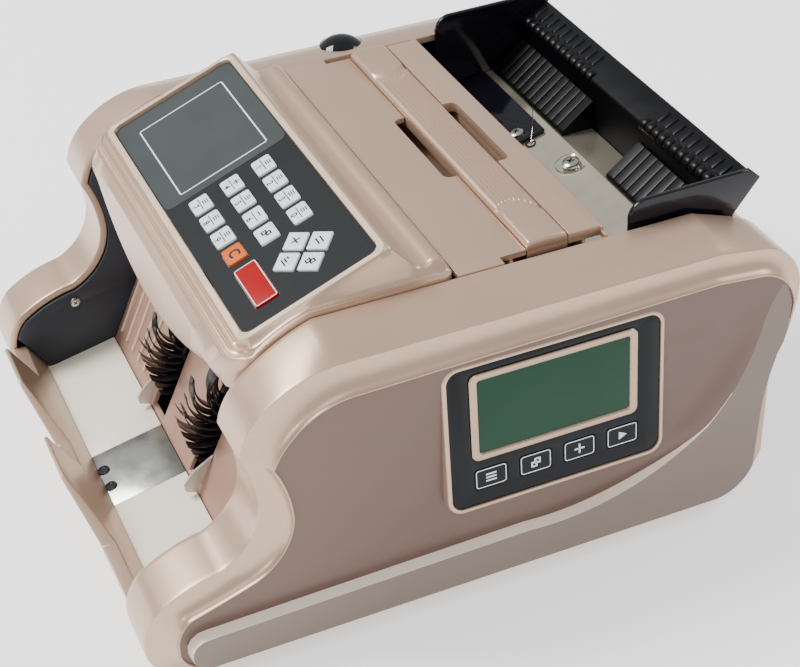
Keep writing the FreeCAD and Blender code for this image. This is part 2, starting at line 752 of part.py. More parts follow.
back_foot = (-92.6, 13.0)
back_top = (-47.0, 108.6)
back_wall = 2.5
back_section = [back_foot, back_top, (back_top[0] + back_wall, back_top[1]), (back_foot[0] + back_wall, back_foot[1])]
back = prism_x(back_section, -inside_x, inside_x)
rise = back_top[1] - back_foot[1]
run = back_top[0] - back_foot[0]


def back_y(z):
    return back_foot[0] + run * (z - back_foot[1]) / rise


for index in range(5):
    x = -90.0 + 9.0 * index
    low = 20.0
    high = 104.0
    rib = [(back_y(low) - 1.2, low), (back_y(high) - 1.2, high), (back_y(high) + 0.5, high), (back_y(low) + 0.5, low)]
    back = back.fuse(prism_x(rib, x, x + 1.6))
tab = [(-92.8, 14.6), (-98.0, 16.4), (-98.4, 20.0), (-94.0, 26.0), (-84.0, 32.0)]
for side in (-1, 1):
    slot = box(-wheel_width / 2 - 1.6, wheel_width / 2 + 1.6, -100, -40, 14.5, 82.0)
    slot.translate(V(side * wheel_x, 0, 0))
    back = back.cut(slot)
    guide_tab = prism_x(tab, -0.7, 0.7)
    guide_tab.translate(V(side * (wheel_x + wheel_width / 2 + 2.4), 0, 0))
    back = back.fuse(guide_tab)
save("stacker_back_plate", back.removeSplitter())

guard_half = cover_inner_x - 0.3
fin_outline = [
    (-guard_half, base_z), (guard_half, base_z), (guard_half, ledge), (58.0, ledge), (26.0, fin_top),
    (-2.0, fin_top), (3.0, ledge), (-15.0, ledge), (-47.0, fin_top), (-74.0, fin_top),
    (-69.0, ledge), (-guard_half, ledge),
]
front_guard = prism_x(guard_side, -100, 100).common(prism_y(fin_outline, -160, -120))
save("stacker_front_guard", front_guard.removeSplitter())


# Electrics

board = box(-60, 60, 118.0, 119.6, 20.0, 92.0)
for x0, x1, z0, z1 in ((-50, -30, 60, 80), (-20, 4, 50, 74), (14, 24, 66, 82), (30, 50, 30, 40)):
    board = board.fuse(box(x0, x1, 114.6, 118.2, z0, z1))
save("main_circuit_board", board.removeSplitter())
core = box(20, 66, 50, 92, 6.05, 44)
winding = box(26, 60, 44, 98, 14, 38)
save("power_transformer", core.fuse(winding).removeSplitter())

inlet = box(inlet_x[0] + 0.2, inlet_x[1] - 0.2, 122.0, 138.1, inlet_z[0] + 0.2, inlet_z[1] - 0.2)
inlet = inlet.fuse(box(inlet_x[0] - 2, inlet_x[1] + 2, 138.1, 139.6, inlet_z[0] - 2, inlet_z[1] + 2))
inlet = inlet.cut(box(inlet_x[0] + 2.2, inlet_x[1] - 2.2, 124.0, 145, inlet_z[0] + 2.2, inlet_z[1] - 2.2))
inlet_mid = (inlet_x[0] + inlet_x[1]) / 2
for dx, z in ((-7, 32), (0, 36.5), (7, 32)):
    inlet = inlet.fuse(box(inlet_mid + dx - 1, inlet_mid + dx + 1, 123.5, 134.5, z - 2, z + 2))
save("mains_inlet", inlet.removeSplitter())

rocker_y = 137.0
rocker_z = (switch_z[0] + switch_z[1]) / 2
rocker_half = (switch_z[1] - switch_z[0]) / 2 - 0.9
rocker_section = [
    (rocker_y + 2.2, rocker_z - rocker_half), (rocker_y + 1.2, rocker_z),
    (rocker_y + 3.8, rocker_z + rocker_half), (rocker_y - 1.5, rocker_z + rocker_half - 0.4),
    (rocker_y - 3.0, rocker_z), (rocker_y - 1.5, rocker_z - rocker_half + 0.4),
]
rocker = prism_x(rocker_section, switch_x[0] + 0.8, switch_x[1] - 0.8)
pivot = rod_x(1.2, switch_x[0] + 0.1, switch_x[1] - 0.1, rocker_y, rocker_z)
save("power_switch", rocker.fuse(pivot).removeSplitter())


if __name__ == "__main__":
    whole = group(list(saved.values()))
    size = whole.optimalBoundingBox(False)
    print("nodes", len(saved))
    print("box", size.XMin, size.XMax, size.YMin, size.YMax, size.ZMin, size.ZMax)
    for name, shape in saved.items():
        if not shape.isValid() or shape.Volume <= 0:
            print("check", name, shape.isValid(), shape.Volume)
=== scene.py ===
import math

import bmesh
import bpy
import numpy as np
from mathutils import Matrix, Vector
from mathutils.geometry import delaunay_2d_cdt


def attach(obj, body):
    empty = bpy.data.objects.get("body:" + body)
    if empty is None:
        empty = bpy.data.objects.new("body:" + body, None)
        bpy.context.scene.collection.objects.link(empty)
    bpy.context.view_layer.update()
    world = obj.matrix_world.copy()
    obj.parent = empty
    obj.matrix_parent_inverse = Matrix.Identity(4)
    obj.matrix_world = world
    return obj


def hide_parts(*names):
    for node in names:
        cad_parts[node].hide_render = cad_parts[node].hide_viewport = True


# The looks of a banknote counting machine, built round its CAD frame.
# Lengths below are millimetres in the frame's own axes: X to the operator's right,
# Y to the rear, Z up. shape() and mesh_of() turn them into metres.

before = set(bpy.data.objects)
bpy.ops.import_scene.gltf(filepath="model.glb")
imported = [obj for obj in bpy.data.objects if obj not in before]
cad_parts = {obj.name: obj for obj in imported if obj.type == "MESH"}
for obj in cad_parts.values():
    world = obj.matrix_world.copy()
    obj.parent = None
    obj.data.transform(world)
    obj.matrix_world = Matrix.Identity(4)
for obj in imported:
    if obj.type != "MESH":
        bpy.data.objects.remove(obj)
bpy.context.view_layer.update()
MM = 0.001


# Materials

def tone(red, green, blue):
    """A screen colour, 0 to 255, as the linear colour that the shader takes."""
    return [((c / 255 + 0.055) / 1.055) ** 2.4 if c > 10 else c / 255 / 12.92 for c in (red, green, blue)]


def surface(colour, rough, metallic=0.0, drift=0.06, patch=28.0, grain=0.35, bump=0.05,
            rough_drift=0.08, stretch=(1, 1, 1), coat=0.0, speck=0.0, speck_size=0.25, clear=0.0, shine=0.5):
    """A moulded, painted or plated surface: its colour and gloss drift over patches, over a fine grain."""
    colour = tone(*colour)
    made = bpy.data.materials.new("look")
    made.use_nodes = True
    nodes = made.node_tree.nodes
    link = made.node_tree.links.new
    shader = nodes["Principled BSDF"]
    shader.inputs["Metallic"].default_value = metallic
    shader.inputs["Coat Weight"].default_value = coat
    shader.inputs["Specular IOR Level"].default_value = shine
    shader.inputs["Coat Roughness"].default_value = 0.06
    shader.inputs["Transmission Weight"].default_value = clear
    place = nodes.new("ShaderNodeTexCoord")
    turn = nodes.new("ShaderNodeMapping")
    turn.inputs["Scale"].default_value = stretch
    link(place.outputs["Object"], turn.inputs["Vector"])

    def noise(size, detail):
        node = nodes.new("ShaderNodeTexNoise")
        node.inputs["Scale"].default_value = 1 / (size * MM)
        node.inputs["Detail"].default_value = detail
        link(turn.outputs["Vector"], node.inputs["Vector"])
        return node.outputs["Fac"]

    def ramp(share, *stops):
        node = nodes.new("ShaderNodeValToRGB")
        for element, (position, shade) in zip(node.color_ramp.elements, stops):
            element.position = position
            element.color = shade + [1]
        link(share, node.inputs["Fac"])
        return node.outputs["Color"]

    patches = noise(patch, 3.0)
    fine = noise(grain, 2.0)
    paint = ramp(patches, (0.3, [c * (1 - drift) for c in colour]),
                 (0.7, [min(1, c * (1 + drift)) for c in colour]))
    if speck:
        flakes = ramp(noise(speck_size, 1.0), (0.35, [1 - speck] * 3), (0.75, [1 + speck] * 3))
        mix = nodes.new("ShaderNodeMix")
        mix.data_type = "RGBA"
        mix.blend_type = "MULTIPLY"
        mix.inputs["Factor"].default_value = 1
        link(paint, mix.inputs["A"])
        link(flakes, mix.inputs["B"])
        paint = mix.outputs["Result"]
    link(paint, shader.inputs["Base Color"])
    gloss = nodes.new("ShaderNodeMapRange")
    gloss.inputs["To Min"].default_value = max(0.02, rough - rough_drift)
    gloss.inputs["To Max"].default_value = min(1, rough + rough_drift)
    link(patches, gloss.inputs["Value"])
    link(gloss.outputs["Result"], shader.inputs["Roughness"])
    dents = nodes.new("ShaderNodeBump")
    dents.inputs["Strength"].default_value = bump
    dents.inputs["Distance"].default_value = grain * MM * 0.5
    link(fine, dents.inputs["Height"])
    link(dents.outputs["Normal"], shader.inputs["Normal"])
    return made


LOOKS = {
    "rose": surface((197, 167, 144), 0.33, metallic=0.6, drift=0.03, patch=60, grain=0.25, bump=0.06,
        rough_drift=0.04, coat=0.12, speck=0.07),
    # A darker copy of the rose finish, with painted shade: the side panels, which face away from the key
    # light, and the handle legs down in their slots.
    "rose_painted_shade": surface((106, 86, 77), 0.4, metallic=0.5, drift=0.04, patch=70, grain=0.25, bump=0.06,
        rough_drift=0.04, coat=0.08, speck=0.07),
    # A dark copy of the rose finish for the skirt, with painted shade, less deep than on the panel because
    # the skirt faces a little more to the light from above.
    "rose_skirt_painted_shade": surface((123, 107, 98), 0.42, metallic=0.5, drift=0.03, patch=70, grain=0.25, bump=0.06,
        rough_drift=0.04, coat=0.06, speck=0.07),
    # A near-white, barely metallic copy of the rose finish for the ridge's up-facing sloping face: a painted
    # highlight.
    "rose_ridge_painted_highlight": surface((252, 234, 218), 0.36, metallic=0.1, drift=0.03, patch=50, grain=0.25, bump=0.06,
        rough_drift=0.04, coat=0.1, speck=0.06),
    "bezel": surface((232, 206, 178), 0.32, metallic=0.5, drift=0.03, patch=20, grain=0.2, bump=0.04,
        coat=0.2, speck=0.05),
    "slate": surface((16, 20, 22), 0.5, drift=0.12, patch=22, grain=0.5, bump=0.35, speck=0.2,
        speck_size=0.6, shine=0.2),
    "window": surface((58, 64, 64), 0.24, patch=25, grain=0.8, bump=0.02, rough_drift=0.05, coat=0.15,
        shine=0.25),
    "print_white": surface((226, 230, 232), 0.5, drift=0.04, patch=3, bump=0.03),
    "key_white": surface((226, 229, 233), 0.42, drift=0.03, patch=6, grain=0.3, bump=0.06, coat=0.1),
    "key_orange": surface((206, 94, 2), 0.42, drift=0.05, patch=5, bump=0.06, coat=0.05, shine=0.2),
    "key_red": surface((156, 5, 11), 0.42, patch=7, bump=0.06, shine=0.15),
    "ink": surface((30, 32, 38), 0.6, drift=0.1, patch=2, bump=0.03, shine=0.2),
    "black_gloss": surface((6, 7, 14), 0.16, drift=0.15, patch=18, grain=0.7, bump=0.015, rough_drift=0.05,
        shine=0.2),
    "black_acrylic": surface((13, 12, 20), 0.12, drift=0.2, patch=30, grain=1.2, bump=0.02,
        rough_drift=0.04, shine=0.35),
    "black_satin": surface((4, 4, 6), 0.34, drift=0.15, patch=12, bump=0.12, rough_drift=0.1, shine=0.2),
    "knob_black": surface((6, 6, 12), 0.04, drift=0.2, patch=9, grain=0.6, bump=0.01, rough_drift=0.02,
        shine=0.4),
    "vane_rubber": surface((15, 14, 20), 0.36, drift=0.2, patch=6, grain=0.4, bump=0.15, rough_drift=0.12,
        shine=0.4),
    "rubber": surface((24, 24, 25), 0.75, drift=0.15, patch=8, grain=0.5, bump=0.3),
    "charcoal": surface((44, 48, 56), 0.5, drift=0.08, patch=40, grain=0.4, bump=0.25, speck=0.08,
        speck_size=0.5, shine=0.3),
    "cream": surface((246, 238, 220), 0.4, drift=0.03, patch=35, grain=0.5, bump=0.06, coat=0.15),
    "steel": surface((182, 184, 177), 0.24, metallic=0.85, drift=0.1, patch=9, grain=0.4, rough_drift=0.12),
    "hopper_plate": surface((206, 197, 176), 0.17, metallic=0.85, drift=0.08, patch=16, grain=0.5,
        bump=0.04, rough_drift=0.1),
    "screw_steel": surface((178, 178, 174), 0.22, metallic=1.0, drift=0.12, patch=2, grain=0.2, bump=0.08),
    "shaft_steel": surface((180, 182, 184), 0.24, metallic=1.0, drift=0.1, patch=5, bump=0.06,
        stretch=(0.1, 1, 1)),
    "plated": surface((150, 152, 155), 0.34, metallic=0.9, drift=0.08, patch=12, bump=0.08),
    "pink": surface((186, 148, 128), 0.42, metallic=0.3, drift=0.05, patch=30, bump=0.1, coat=0.05,
        speck=0.05),
    "rib_light": surface((226, 196, 176), 0.4, metallic=0.2, drift=0.05, patch=10),
    "clear_tab": surface((226, 214, 202), 0.22, drift=0.05, patch=8, bump=0.03, clear=0.45),
    "frame_rose": surface((176, 150, 126), 0.27, metallic=0.8, drift=0.05, patch=18, grain=0.3, bump=0.04,
        coat=0.2),
    "lcd": surface((17, 60, 40), 0.2, drift=0.1, patch=30, bump=0.02, rough_drift=0.05, shine=0.2),
    "board": surface((24, 84, 48), 0.4, drift=0.15, patch=8, bump=0.08),
    "base": surface((40, 40, 43), 0.55, drift=0.1, patch=20, bump=0.2),
    "glass_dark": surface((10, 12, 18), 0.08, drift=0.2, patch=3, bump=0.01, coat=0.5),
}
for key, material in LOOKS.items():
    material.name = key


# Making pieces

def finish_mesh(mesh, sharp):
    for polygon in mesh.polygons:
        polygon.use_smooth = True
    mesh.set_sharp_from_angle(angle=math.radians(sharp))


def add(name, mesh, look, body, replaces=(), sharp=32.0):
    """Puts a mesh, already in metres, into the scene on its body."""
    finish_mesh(mesh, sharp)
    piece = bpy.data.objects.new(name, mesh)
    bpy.context.scene.collection.objects.link(piece)
    mesh.materials.clear()
    mesh.materials.append(LOOKS[look])
    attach(piece, body)
    if replaces:
        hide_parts(*replaces)
    return piece


def mesh_of(name, points, faces, merge=0.002):
    """A mesh in metres from points in millimetres, with its faces turned outwards."""
    built = bmesh.new()
    corners = [built.verts.new(Vector(p) * MM) for p in points]
    for face in faces:
        if len(set(face)) > 2:
            try:
                built.faces.new([corners[i] for i in face])
            except ValueError:
                continue
    bmesh.ops.remove_doubles(built, verts=built.verts, dist=merge * MM)
    bmesh.ops.recalc_face_normals(built, faces=built.faces)
    mesh = bpy.data.meshes.new(name)
    built.to_mesh(mesh)
    built.free()
    return mesh


def shape(name, geometry, look, body, replaces=(), sharp=32.0, merge=0.002):
    """Adds a piece from its points, in millimetres, and faces."""
    return add(name, mesh_of(name, *geometry, merge=merge), look, body, replaces, sharp)


def turn_out(mesh, way):
    """Drops stray points and turns an open sheet's faces to look towards way."""
    built = bmesh.new()
    built.from_mesh(mesh)
    bmesh.ops.delete(built, geom=[v for v in built.verts if not v.link_faces], context="VERTS")
    built.normal_update()
    if sum((f.normal.dot(Vector(way)) * f.calc_area() for f in built.faces), 0.0) < 0:
        bmesh.ops.reverse_faces(built, faces=built.faces)
    built.to_mesh(mesh)
    built.free()


def join_parts(parts):
    """Several (points, faces) as one."""
    points = []
    faces = []
    for some_points, some_faces in parts:
        start = len(points)
        points += list(some_points)
        faces += [[i + start for i in face] for face in some_faces]
    return points, faces


def loft(rings, closed=True, first_cap=False, last_cap=False):
    """Quads between rings of equal length."""
    size = len(rings[0])
    points = [p for ring in rings for p in ring]
    faces = []
    for k in range(len(rings) - 1):
        for i in range(size if closed else size - 1):
            j = (i + 1) % size
            faces.append([k * size + i, k * size + j, (k + 1) * size + j, (k + 1) * size + i])
    if first_cap:
        faces.append(list(range(size))[::-1])
    if last_cap:
        faces.append([(len(rings) - 1) * size + i for i in range(size)])
    return points, faces


def softened(node, width, look, body, segments=2, bend=28.0):
    """The CAD node's own shape with its sharp edges rounded, which stands for the node."""
    built = bmesh.new()
    built.from_mesh(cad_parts[node].data)
    bmesh.ops.remove_doubles(built, verts=built.verts, dist=2e-6)
    bmesh.ops.dissolve_limit(built, angle_limit=math.radians(0.6), verts=built.verts, edges=built.edges)
    edges = [e for e in built.edges if len(e.link_faces) == 2 and e.calc_face_angle(0) > math.radians(bend)]
    bmesh.ops.bevel(built, geom=edges, offset=width * MM, segments=segments, profile=0.5,
                    affect="EDGES", clamp_overlap=True)
    mesh = bpy.data.meshes.new(node)
    built.to_mesh(mesh)
    built.free()
    return add(node + "_body", mesh, look, body, [node])


def arc(start, middle, end, count):
    """Points after start, up to end, on the circle through three points."""
    (ax, ay), (bx, by), (cx, cy) = start, middle, end
    d = 2 * (ax * (by - cy) + bx * (cy - ay) + cx * (ay - by))
    if abs(d) < 1e-6:
        return [(ax + (cx - ax) * k / count, ay + (cy - ay) * k / count) for k in range(1, count + 1)]
    a2, b2, c2 = ax * ax + ay * ay, bx * bx + by * by, cx * cx + cy * cy
    ux = (a2 * (by - cy) + b2 * (cy - ay) + c2 * (ay - by)) / d
    uy = (a2 * (cx - bx) + b2 * (ax - cx) + c2 * (bx - ax)) / d
    radius = math.hypot(ax - ux, ay - uy)
    first = math.atan2(ay - uy, ax - ux)
    through = (math.atan2(by - uy, bx - ux) - first) % (2 * math.pi)
    last = (math.atan2(cy - uy, cx - ux) - first) % (2 * math.pi)
    sweep = last if through < last else last - 2 * math.pi
    return [(ux + radius * math.cos(first + sweep * k / count),
             uy + radius * math.sin(first + sweep * k / count))
            for k in range(1, count + 1)]


def traced(start, runs, counts):
    """Points along runs, each a straight end point or an arc's middle and end."""
    points = [start]
    for run, count in zip(runs, counts):
        here = points[-1]
        middle = run[0] if len(run) == 2 else ((here[0] + run[0][0]) / 2, (here[1] + run[0][1]) / 2)
        points += arc(here, middle, run[-1], count)
    return points


def run_counts(start, runs, spacing):
    counts = []
    here = start
    for run in runs:
        length = sum(math.dist(a, b) for a, b in zip([here] + list(run[:-1]), run))
        counts.append(max(2, round(length / spacing)))
        here = run[-1]
    return counts


def drawn_in(points, distance):
    """A closed outline moved inwards by distance along its own normals."""
    area = sum(a[0] * b[1] - b[0] * a[1] for a, b in zip(points, points[1:] + points[:1]))
    side = 1 if area > 0 else -1
    moved = []
    for k, (x, y) in enumerate(points):
        before = points[k - 1]
        after = points[(k + 1) % len(points)]
        dx, dy = after[0] - before[0], after[1] - before[1]
        size = math.hypot(dx, dy) or 1
        moved.append((x - side * dy / size * distance, y + side * dx / size * distance))
    return moved


def rounded_loop(half_u, half_v, radius, count=6):
    """A rounded rectangle about the origin, anticlockwise."""
    points = []
    for quarter, (su, sv) in enumerate(((1, 1), (-1, 1), (-1, -1), (1, -1))):
        for k in range(count + 1):
            angle = (quarter + k / count) * math.pi / 2
            points.append((su * (half_u - radius) + radius * math.cos(angle),
                           sv * (half_v - radius) + radius * math.sin(angle)))
    return points


def relief(outline, lines, spacing, height, holes=()):
    """A triangulated sheet inside a closed outline, with edges along given lines, raised by height(u, v)."""
    flat = []
    edges = []

    def take(points, closed):
        first = len(flat)
        flat.extend(points)
        edges.extend((first + k, first + k + 1) for k in range(len(points) - 1))
        if closed:
            edges.append((first + len(points) - 1, first))

    take(outline, True)
    for line in lines:
        take(line, False)
    for hole in holes:
        take(hole, True)
    low_u, high_u = min(p[0] for p in outline), max(p[0] for p in outline)
    low_v, high_v = min(p[1] for p in outline), max(p[1] for p in outline)
    fixed = np.array(flat)
    count_u = int((high_u - low_u) / spacing)
    count_v = int((high_v - low_v) / spacing)
    for i in range(1, count_u):
        for j in range(1, count_v):
            u = low_u + (high_u - low_u) * (i + 0.5 * (j % 2)) / count_u
            v = low_v + (high_v - low_v) * j / count_v
            if within(outline, u, v) and np.min(np.hypot(fixed[:, 0] - u, fixed[:, 1] - v)) > spacing * 0.45:
                flat.append((u, v))
    made = delaunay_2d_cdt([Vector(p) for p in flat], edges, [], 0, 1e-5)
    corners, faces = made[0], made[2]
    kept = []
    for face in faces:
        u = sum(corners[i][0] for i in face) / len(face)
        v = sum(corners[i][1] for i in face) / len(face)
        if within(outline, u, v) and not any(within(hole, u, v) for hole in holes):
            kept.append(list(face))
    return [height(c[0], c[1]) for c in corners], kept


def within(outline, u, v):
    """True if the point is inside the closed outline."""
    inside = False
    for (a, b), (c, d) in zip(outline, outline[1:] + outline[:1]):
        if (b > v) != (d > v) and u < (c - a) * (v - b) / (d - b) + a:
            inside = not inside
    return inside


def nearest(line, u, v):
    """Distance from a point to a run of straight pieces."""
    a = np.array(line[:-1])
    step = np.array(line[1:]) - a
    p = np.array((u, v))
    share = np.clip(((p - a) * step).sum(1) / np.maximum((step ** 2).sum(1), 1e-9), 0, 1)
    return float(np.min(np.linalg.norm(a + share[:, None] * step - p, axis=1)))


def smooth(low, high, value):
    share = min(1.0, max(0.0, (value - low) / (high - low)))
    return share * share * (3 - 2 * share)


# Side covers

COVER_INNER = 97.0
CREASE = 122.5
COVER_EDGE = 128.0
PANEL = 126.8
CROWN = 5.2
BASE_Z = 3.0
SKIRT_RISE = 5.2
SKIRT_CHAMFER = 0.8
RIDGE_FADES = (30.0, 66.0)


def rim_runs(rise):
    return [
        [(-56.0, 130.5 + rise)],
        [(-71.5, 127.3 + 0.3 * rise), (-84.5, 119.8)],
        [(-92.2, 111.8), (-97.0, 100.2)],
        [(-92.8, 88.0), (-91.2, 75.1)],
        [(-96.0, 60.0), (-109.0, 48.8)],
        [(-124.0, 44.3), (-136.0, 37.3)],
        [(-141.8, 28.0), (-143.2, 18.0)],
        [(-138.6, 7.6), (-128.0, BASE_Z)],
        [(118.0, BASE_Z)],
        [(131.0, 8.5), (138.3, 20.0)],
        [(138.4, 49.0)],
        [(139.4, 64.0), (143.0, 78.2)],
        [(147.6, 91.0), (149.0, 104.8)],
        [(143.6, 119.0), (129.0, 127.4 + 0.3 * rise)],
        [(110.0, 130.4 + rise)],
    ]


PANEL_START = (106.0, 120.7)
PANEL_RUNS = [
    [(-48.0, 118.6)],
    [(-65.9, 115.1), (-78.0, 106.0)],
    [(-82.4, 100.6), (-85.8, 94.0)],
    [(-81.2, 81.0), (-79.6, 68.5)],
    [(-84.4, 53.6), (-97.0, 42.4)],
    [(-112.0, 37.2), (-125.0, 33.0)],
    [(-129.6, 27.0), (-131.0, 19.0)],
    [(-128.2, 9.8), (-119.0, 5.4)],
    [(112.0, 5.4)],
    [(124.0, 10.6), (131.2, 21.0)],
    [(132.4, 47.0)],
    [(134.0, 63.0), (137.4, 77.0)],
    [(142.0, 89.0), (143.8, 100.0)],
    [(138.4, 112.2), (126.0, 118.6)],
    [(106.0, 120.7)],
]


def rim_start(rise):
    return (110.0, 130.4 + rise)


COUNTS = run_counts(rim_start(0), rim_runs(0), 2.6)


def rim(rise, inset=0.0):
    return drawn_in(traced(rim_start(rise), rim_runs(rise), COUNTS)[:-1], inset)


def rim_height(y):
    """Height of the rim's inner edge above a place on its top."""
    top = [p for p in rim(CROWN) if p[1] > 95.0]
    return float(np.interp(y, *np.array(sorted(top)).T))


panel_loop = traced(PANEL_START, PANEL_RUNS, COUNTS)[:-1]
RIDGE_START = (-118.0, 5.4)
RIDGE_RUNS = [
    [(-124.6, 10.5), (-126.6, 16.0)],
    [(-125.2, 21.6), (-119.0, 24.2)],
    [(20.0, 26.6)],
    [(70.0, 33.0), (103.0, 52.0)],
    [(119.0, 74.0), (128.0, 92.0)],
    [(132.0, 101.5), (138.5, 111.0)],
]
ridge_line = traced(RIDGE_START, RIDGE_RUNS, run_counts(RIDGE_START, RIDGE_RUNS, 3.0))
skirt_loop = ridge_line + [(160.0, 111.0), (160.0, 0.0), (-118.0, 0.0)]
DISPLAY_MIDDLE = (33.0, 81.5)
DISPLAY_HALF = (49.0, 35.0)


def ridge_width(z):
    """The sloping face above the skirt's ridge narrows to nothing as the ridge climbs to the rear."""
    return SKIRT_CHAMFER * (1.0 - 0.75 * smooth(*RIDGE_FADES, z))


def side_sheet_point(y, z):
    """The side panel, its raised skirt and the faint step behind the display."""
    away = nearest(ridge_line, y, z)
    inside = within(skirt_loop, y, z)
    soft = smooth(26.0, 56.0, z)
    hard = 1.0 if inside else max(0.0, 1.0 - away / ridge_width(z))
    sweep = 1.0 if inside else math.exp(-(away / 9.0) ** 2)
    rise = (hard * (1.0 - soft) + sweep * soft) * (1.0 - smooth(62.0, 112.0, z))
    to_edge = nearest(panel_loop + panel_loop[:1], y, z)
    skirt = min(SKIRT_RISE * rise, 1.2 + 1.2 * to_edge) * smooth(0.76, 1.5, to_edge)
    below = 99.8 - 0.036 * (y - 82.0) - z
    step = 0.7 * smooth(0.0, 2.4, below) * (1.0 - smooth(6.0, 44.0, below)) * smooth(70.0, 92.0, y)
    dish = -0.9 * math.exp(-((away - 12.0) / 9.0) ** 2) * (0.0 if inside else 1.0) * smooth(20.0, 70.0, y)
    return (PANEL + max(skirt, (step + dish) * smooth(0.0, 5.0, to_edge)), y, z)


def beside(line, width, side, away_from):
    """An open line moved sideways by width(z), to the side that is outside a closed loop."""
    moved = []
    for k, (y, z) in enumerate(line):
        distance = side * width(z)
        before = line[max(0, k - 1)]
        after = line[min(len(line) - 1, k + 1)]
        dy, dz = after[0] - before[0], after[1] - before[1]
        size = math.hypot(dy, dz) or 1
        moved.append((y - dz / size * distance, z + dy / size * distance))
    middle = moved[len(moved) // 2]
    return beside(line, width, -side, away_from) if within(away_from, *middle) else moved


def side_sheets(side, holes):
    """The side panel, the ridge's sloping face and the skirt below it, as three sheets."""
    outline = drawn_in(panel_loop, 0.8)
    foot = [p for p in beside(ridge_line, ridge_width, 1, skirt_loop) if within(outline, *p)]
    ridge = [p for p in ridge_line if within(outline, *p)]
    lines = [foot, ridge]
    for inset in (1.6, 2.6, 3.6):
        loop = drawn_in(panel_loop, inset)
        runs = [p for p in loop if within(skirt_loop, *p)]
        cut = max(range(len(runs)), key=lambda k: math.dist(runs[k - 1], runs[k]))
        lines.append(runs[cut:] + runs[:cut])
    points, faces = relief(outline, lines, 3.2, side_sheet_point, holes)
    sheets = {"panel": [], "ridge": [], "skirt": []}
    for face in faces:
        y = sum(points[i][1] for i in face) / 3
        z = sum(points[i][2] for i in face) / 3
        if within(skirt_loop, y, z):
            sheets["skirt"].append(face)
        # Faces on the ridge's sloping face, below where it fades, go to the sheet with the painted highlight.
        elif nearest(ridge_line, y, z) < ridge_width(z) * 0.97 and z < RIDGE_FADES[1]:
            sheets["ridge"].append(face)
        else:
            sheets["panel"].append(face)
    points = [(side * x, y, z) for x, y, z in points]
    return points, sheets


def cover_shell(side):
    """The rim, its crown, the crease, the cove and the lip round the side panel."""
    rings = []

    def ring(x, points):
        rings.append([(side * x, y, z) for y, z in points])

    ring(COVER_INNER, rim(CROWN, 3.2))
    ring(COVER_INNER, rim(CROWN, 0.5))
    ring(COVER_INNER + 0.2, rim(CROWN, 0.12))
    first = COVER_INNER + 0.6
    last = CREASE - 0.5
    for k in range(13):
        share = k / 12
        ring(first + (last - first) * share, rim(CROWN * (1 - share * share)))
    ring(CREASE - 0.12, rim(0, 0.05))
    ring(CREASE, rim(0, 0.2))
    ring(CREASE + 0.05, rim(0, 0.7))
    start = rim(0, 0.7)
    for k in range(1, 13):
        angle = k / 12 * math.pi / 2
        share = math.sin(angle)
        x = CREASE + 0.05 + (COVER_EDGE - CREASE - 0.05) * (1 - math.cos(angle))
        ring(x, [(a + (c - a) * share, b + (d - b) * share) for (a, b), (c, d) in zip(start, panel_loop)])
    ring(COVER_EDGE, drawn_in(panel_loop, 0.3))
    ring(COVER_EDGE - 0.3, drawn_in(panel_loop, 0.7))
    ring(PANEL - 0.2, drawn_in(panel_loop, 0.8))
    return loft(rings)


def side_covers():
    display_hole = [(DISPLAY_MIDDLE[0] + u, DISPLAY_MIDDLE[1] + v)
                    for u, v in rounded_loop(DISPLAY_HALF[0] - 0.6, DISPLAY_HALF[1] - 0.8, 6.5)]
    for side, word, holes in ((1, "right", [display_hole]), (-1, "left", [])):
        shell = cover_shell(side)
        node = word + "_side_cover"
        shape(word + "_cover_rim", shell, "rose", "body", [node])
        points, sheets = side_sheets(side, holes)
        # The panel takes the rose finish darkened with painted shade, the skirt a lighter painted shade, and
        # the ridge's sloping face a painted highlight.
        for part, look in (("panel", "rose_painted_shade"), ("ridge", "rose_ridge_painted_highlight"), ("skirt", "rose_skirt_painted_shade")):
            mesh = mesh_of(node + "_" + part, points, sheets[part])
            turn_out(mesh, (side, 0, 0))
            add(word + "_side_" + part, mesh, look, "body", sharp=40)


# Display on the right side cover

DISPLAY_TILT = math.radians(4.0)
PANEL_FACE = 2.1
LCD_MIDDLE = (-0.5, 9.0)
SIDE_KEYS = {"side_key_function": -29.6, "side_key_batch": -9.7, "side_key_add": 10.1, "side_key_start": 29.8}
SIDE_KEY_ROW = -20.8


def on_display(u, v, w):
    """From the display's own frame: u to the rear, v up, w out."""
    return (PANEL + w * math.cos(DISPLAY_TILT) - v * math.sin(DISPLAY_TILT), DISPLAY_MIDDLE[0] + u,
            DISPLAY_MIDDLE[1] + w * math.sin(DISPLAY_TILT) + v * math.cos(DISPLAY_TILT))


def stack(place, rings, middle=(0.0, 0.0), first_cap=False, last_cap=False, count=6):
    """A loft of rounded rectangles, each (w, half u, half v, corner), set by place()."""
    loops = []
    for w, half_u, half_v, corner in rings:
        loops.append([place(middle[0] + u, middle[1] + v, w)
                      for u, v in rounded_loop(half_u, half_v, corner, count)])
    return loft(loops, first_cap=first_cap, last_cap=last_cap)


def printed_loop(place, w, half_u, half_v, corner, width, middle=(0.0, 0.0)):
    """A thin printed line round a rounded rectangle."""
    return stack(place, [(w - 0.02, half_u, half_v, corner), (w, half_u, half_v, corner),
                         (w, half_u - width, half_v - width, max(0.1, corner - width)),
                         (w - 0.02, half_u - width, half_v - width, max(0.1, corner - width))], middle)


def bar(place, u0, u1, v0, v1, w):
    """A flat printed bar."""
    points = [place(u, v, w) for u, v in ((u0, v0), (u1, v0), (u1, v1), (u0, v1))]
    return points, [[0, 1, 2, 3]]


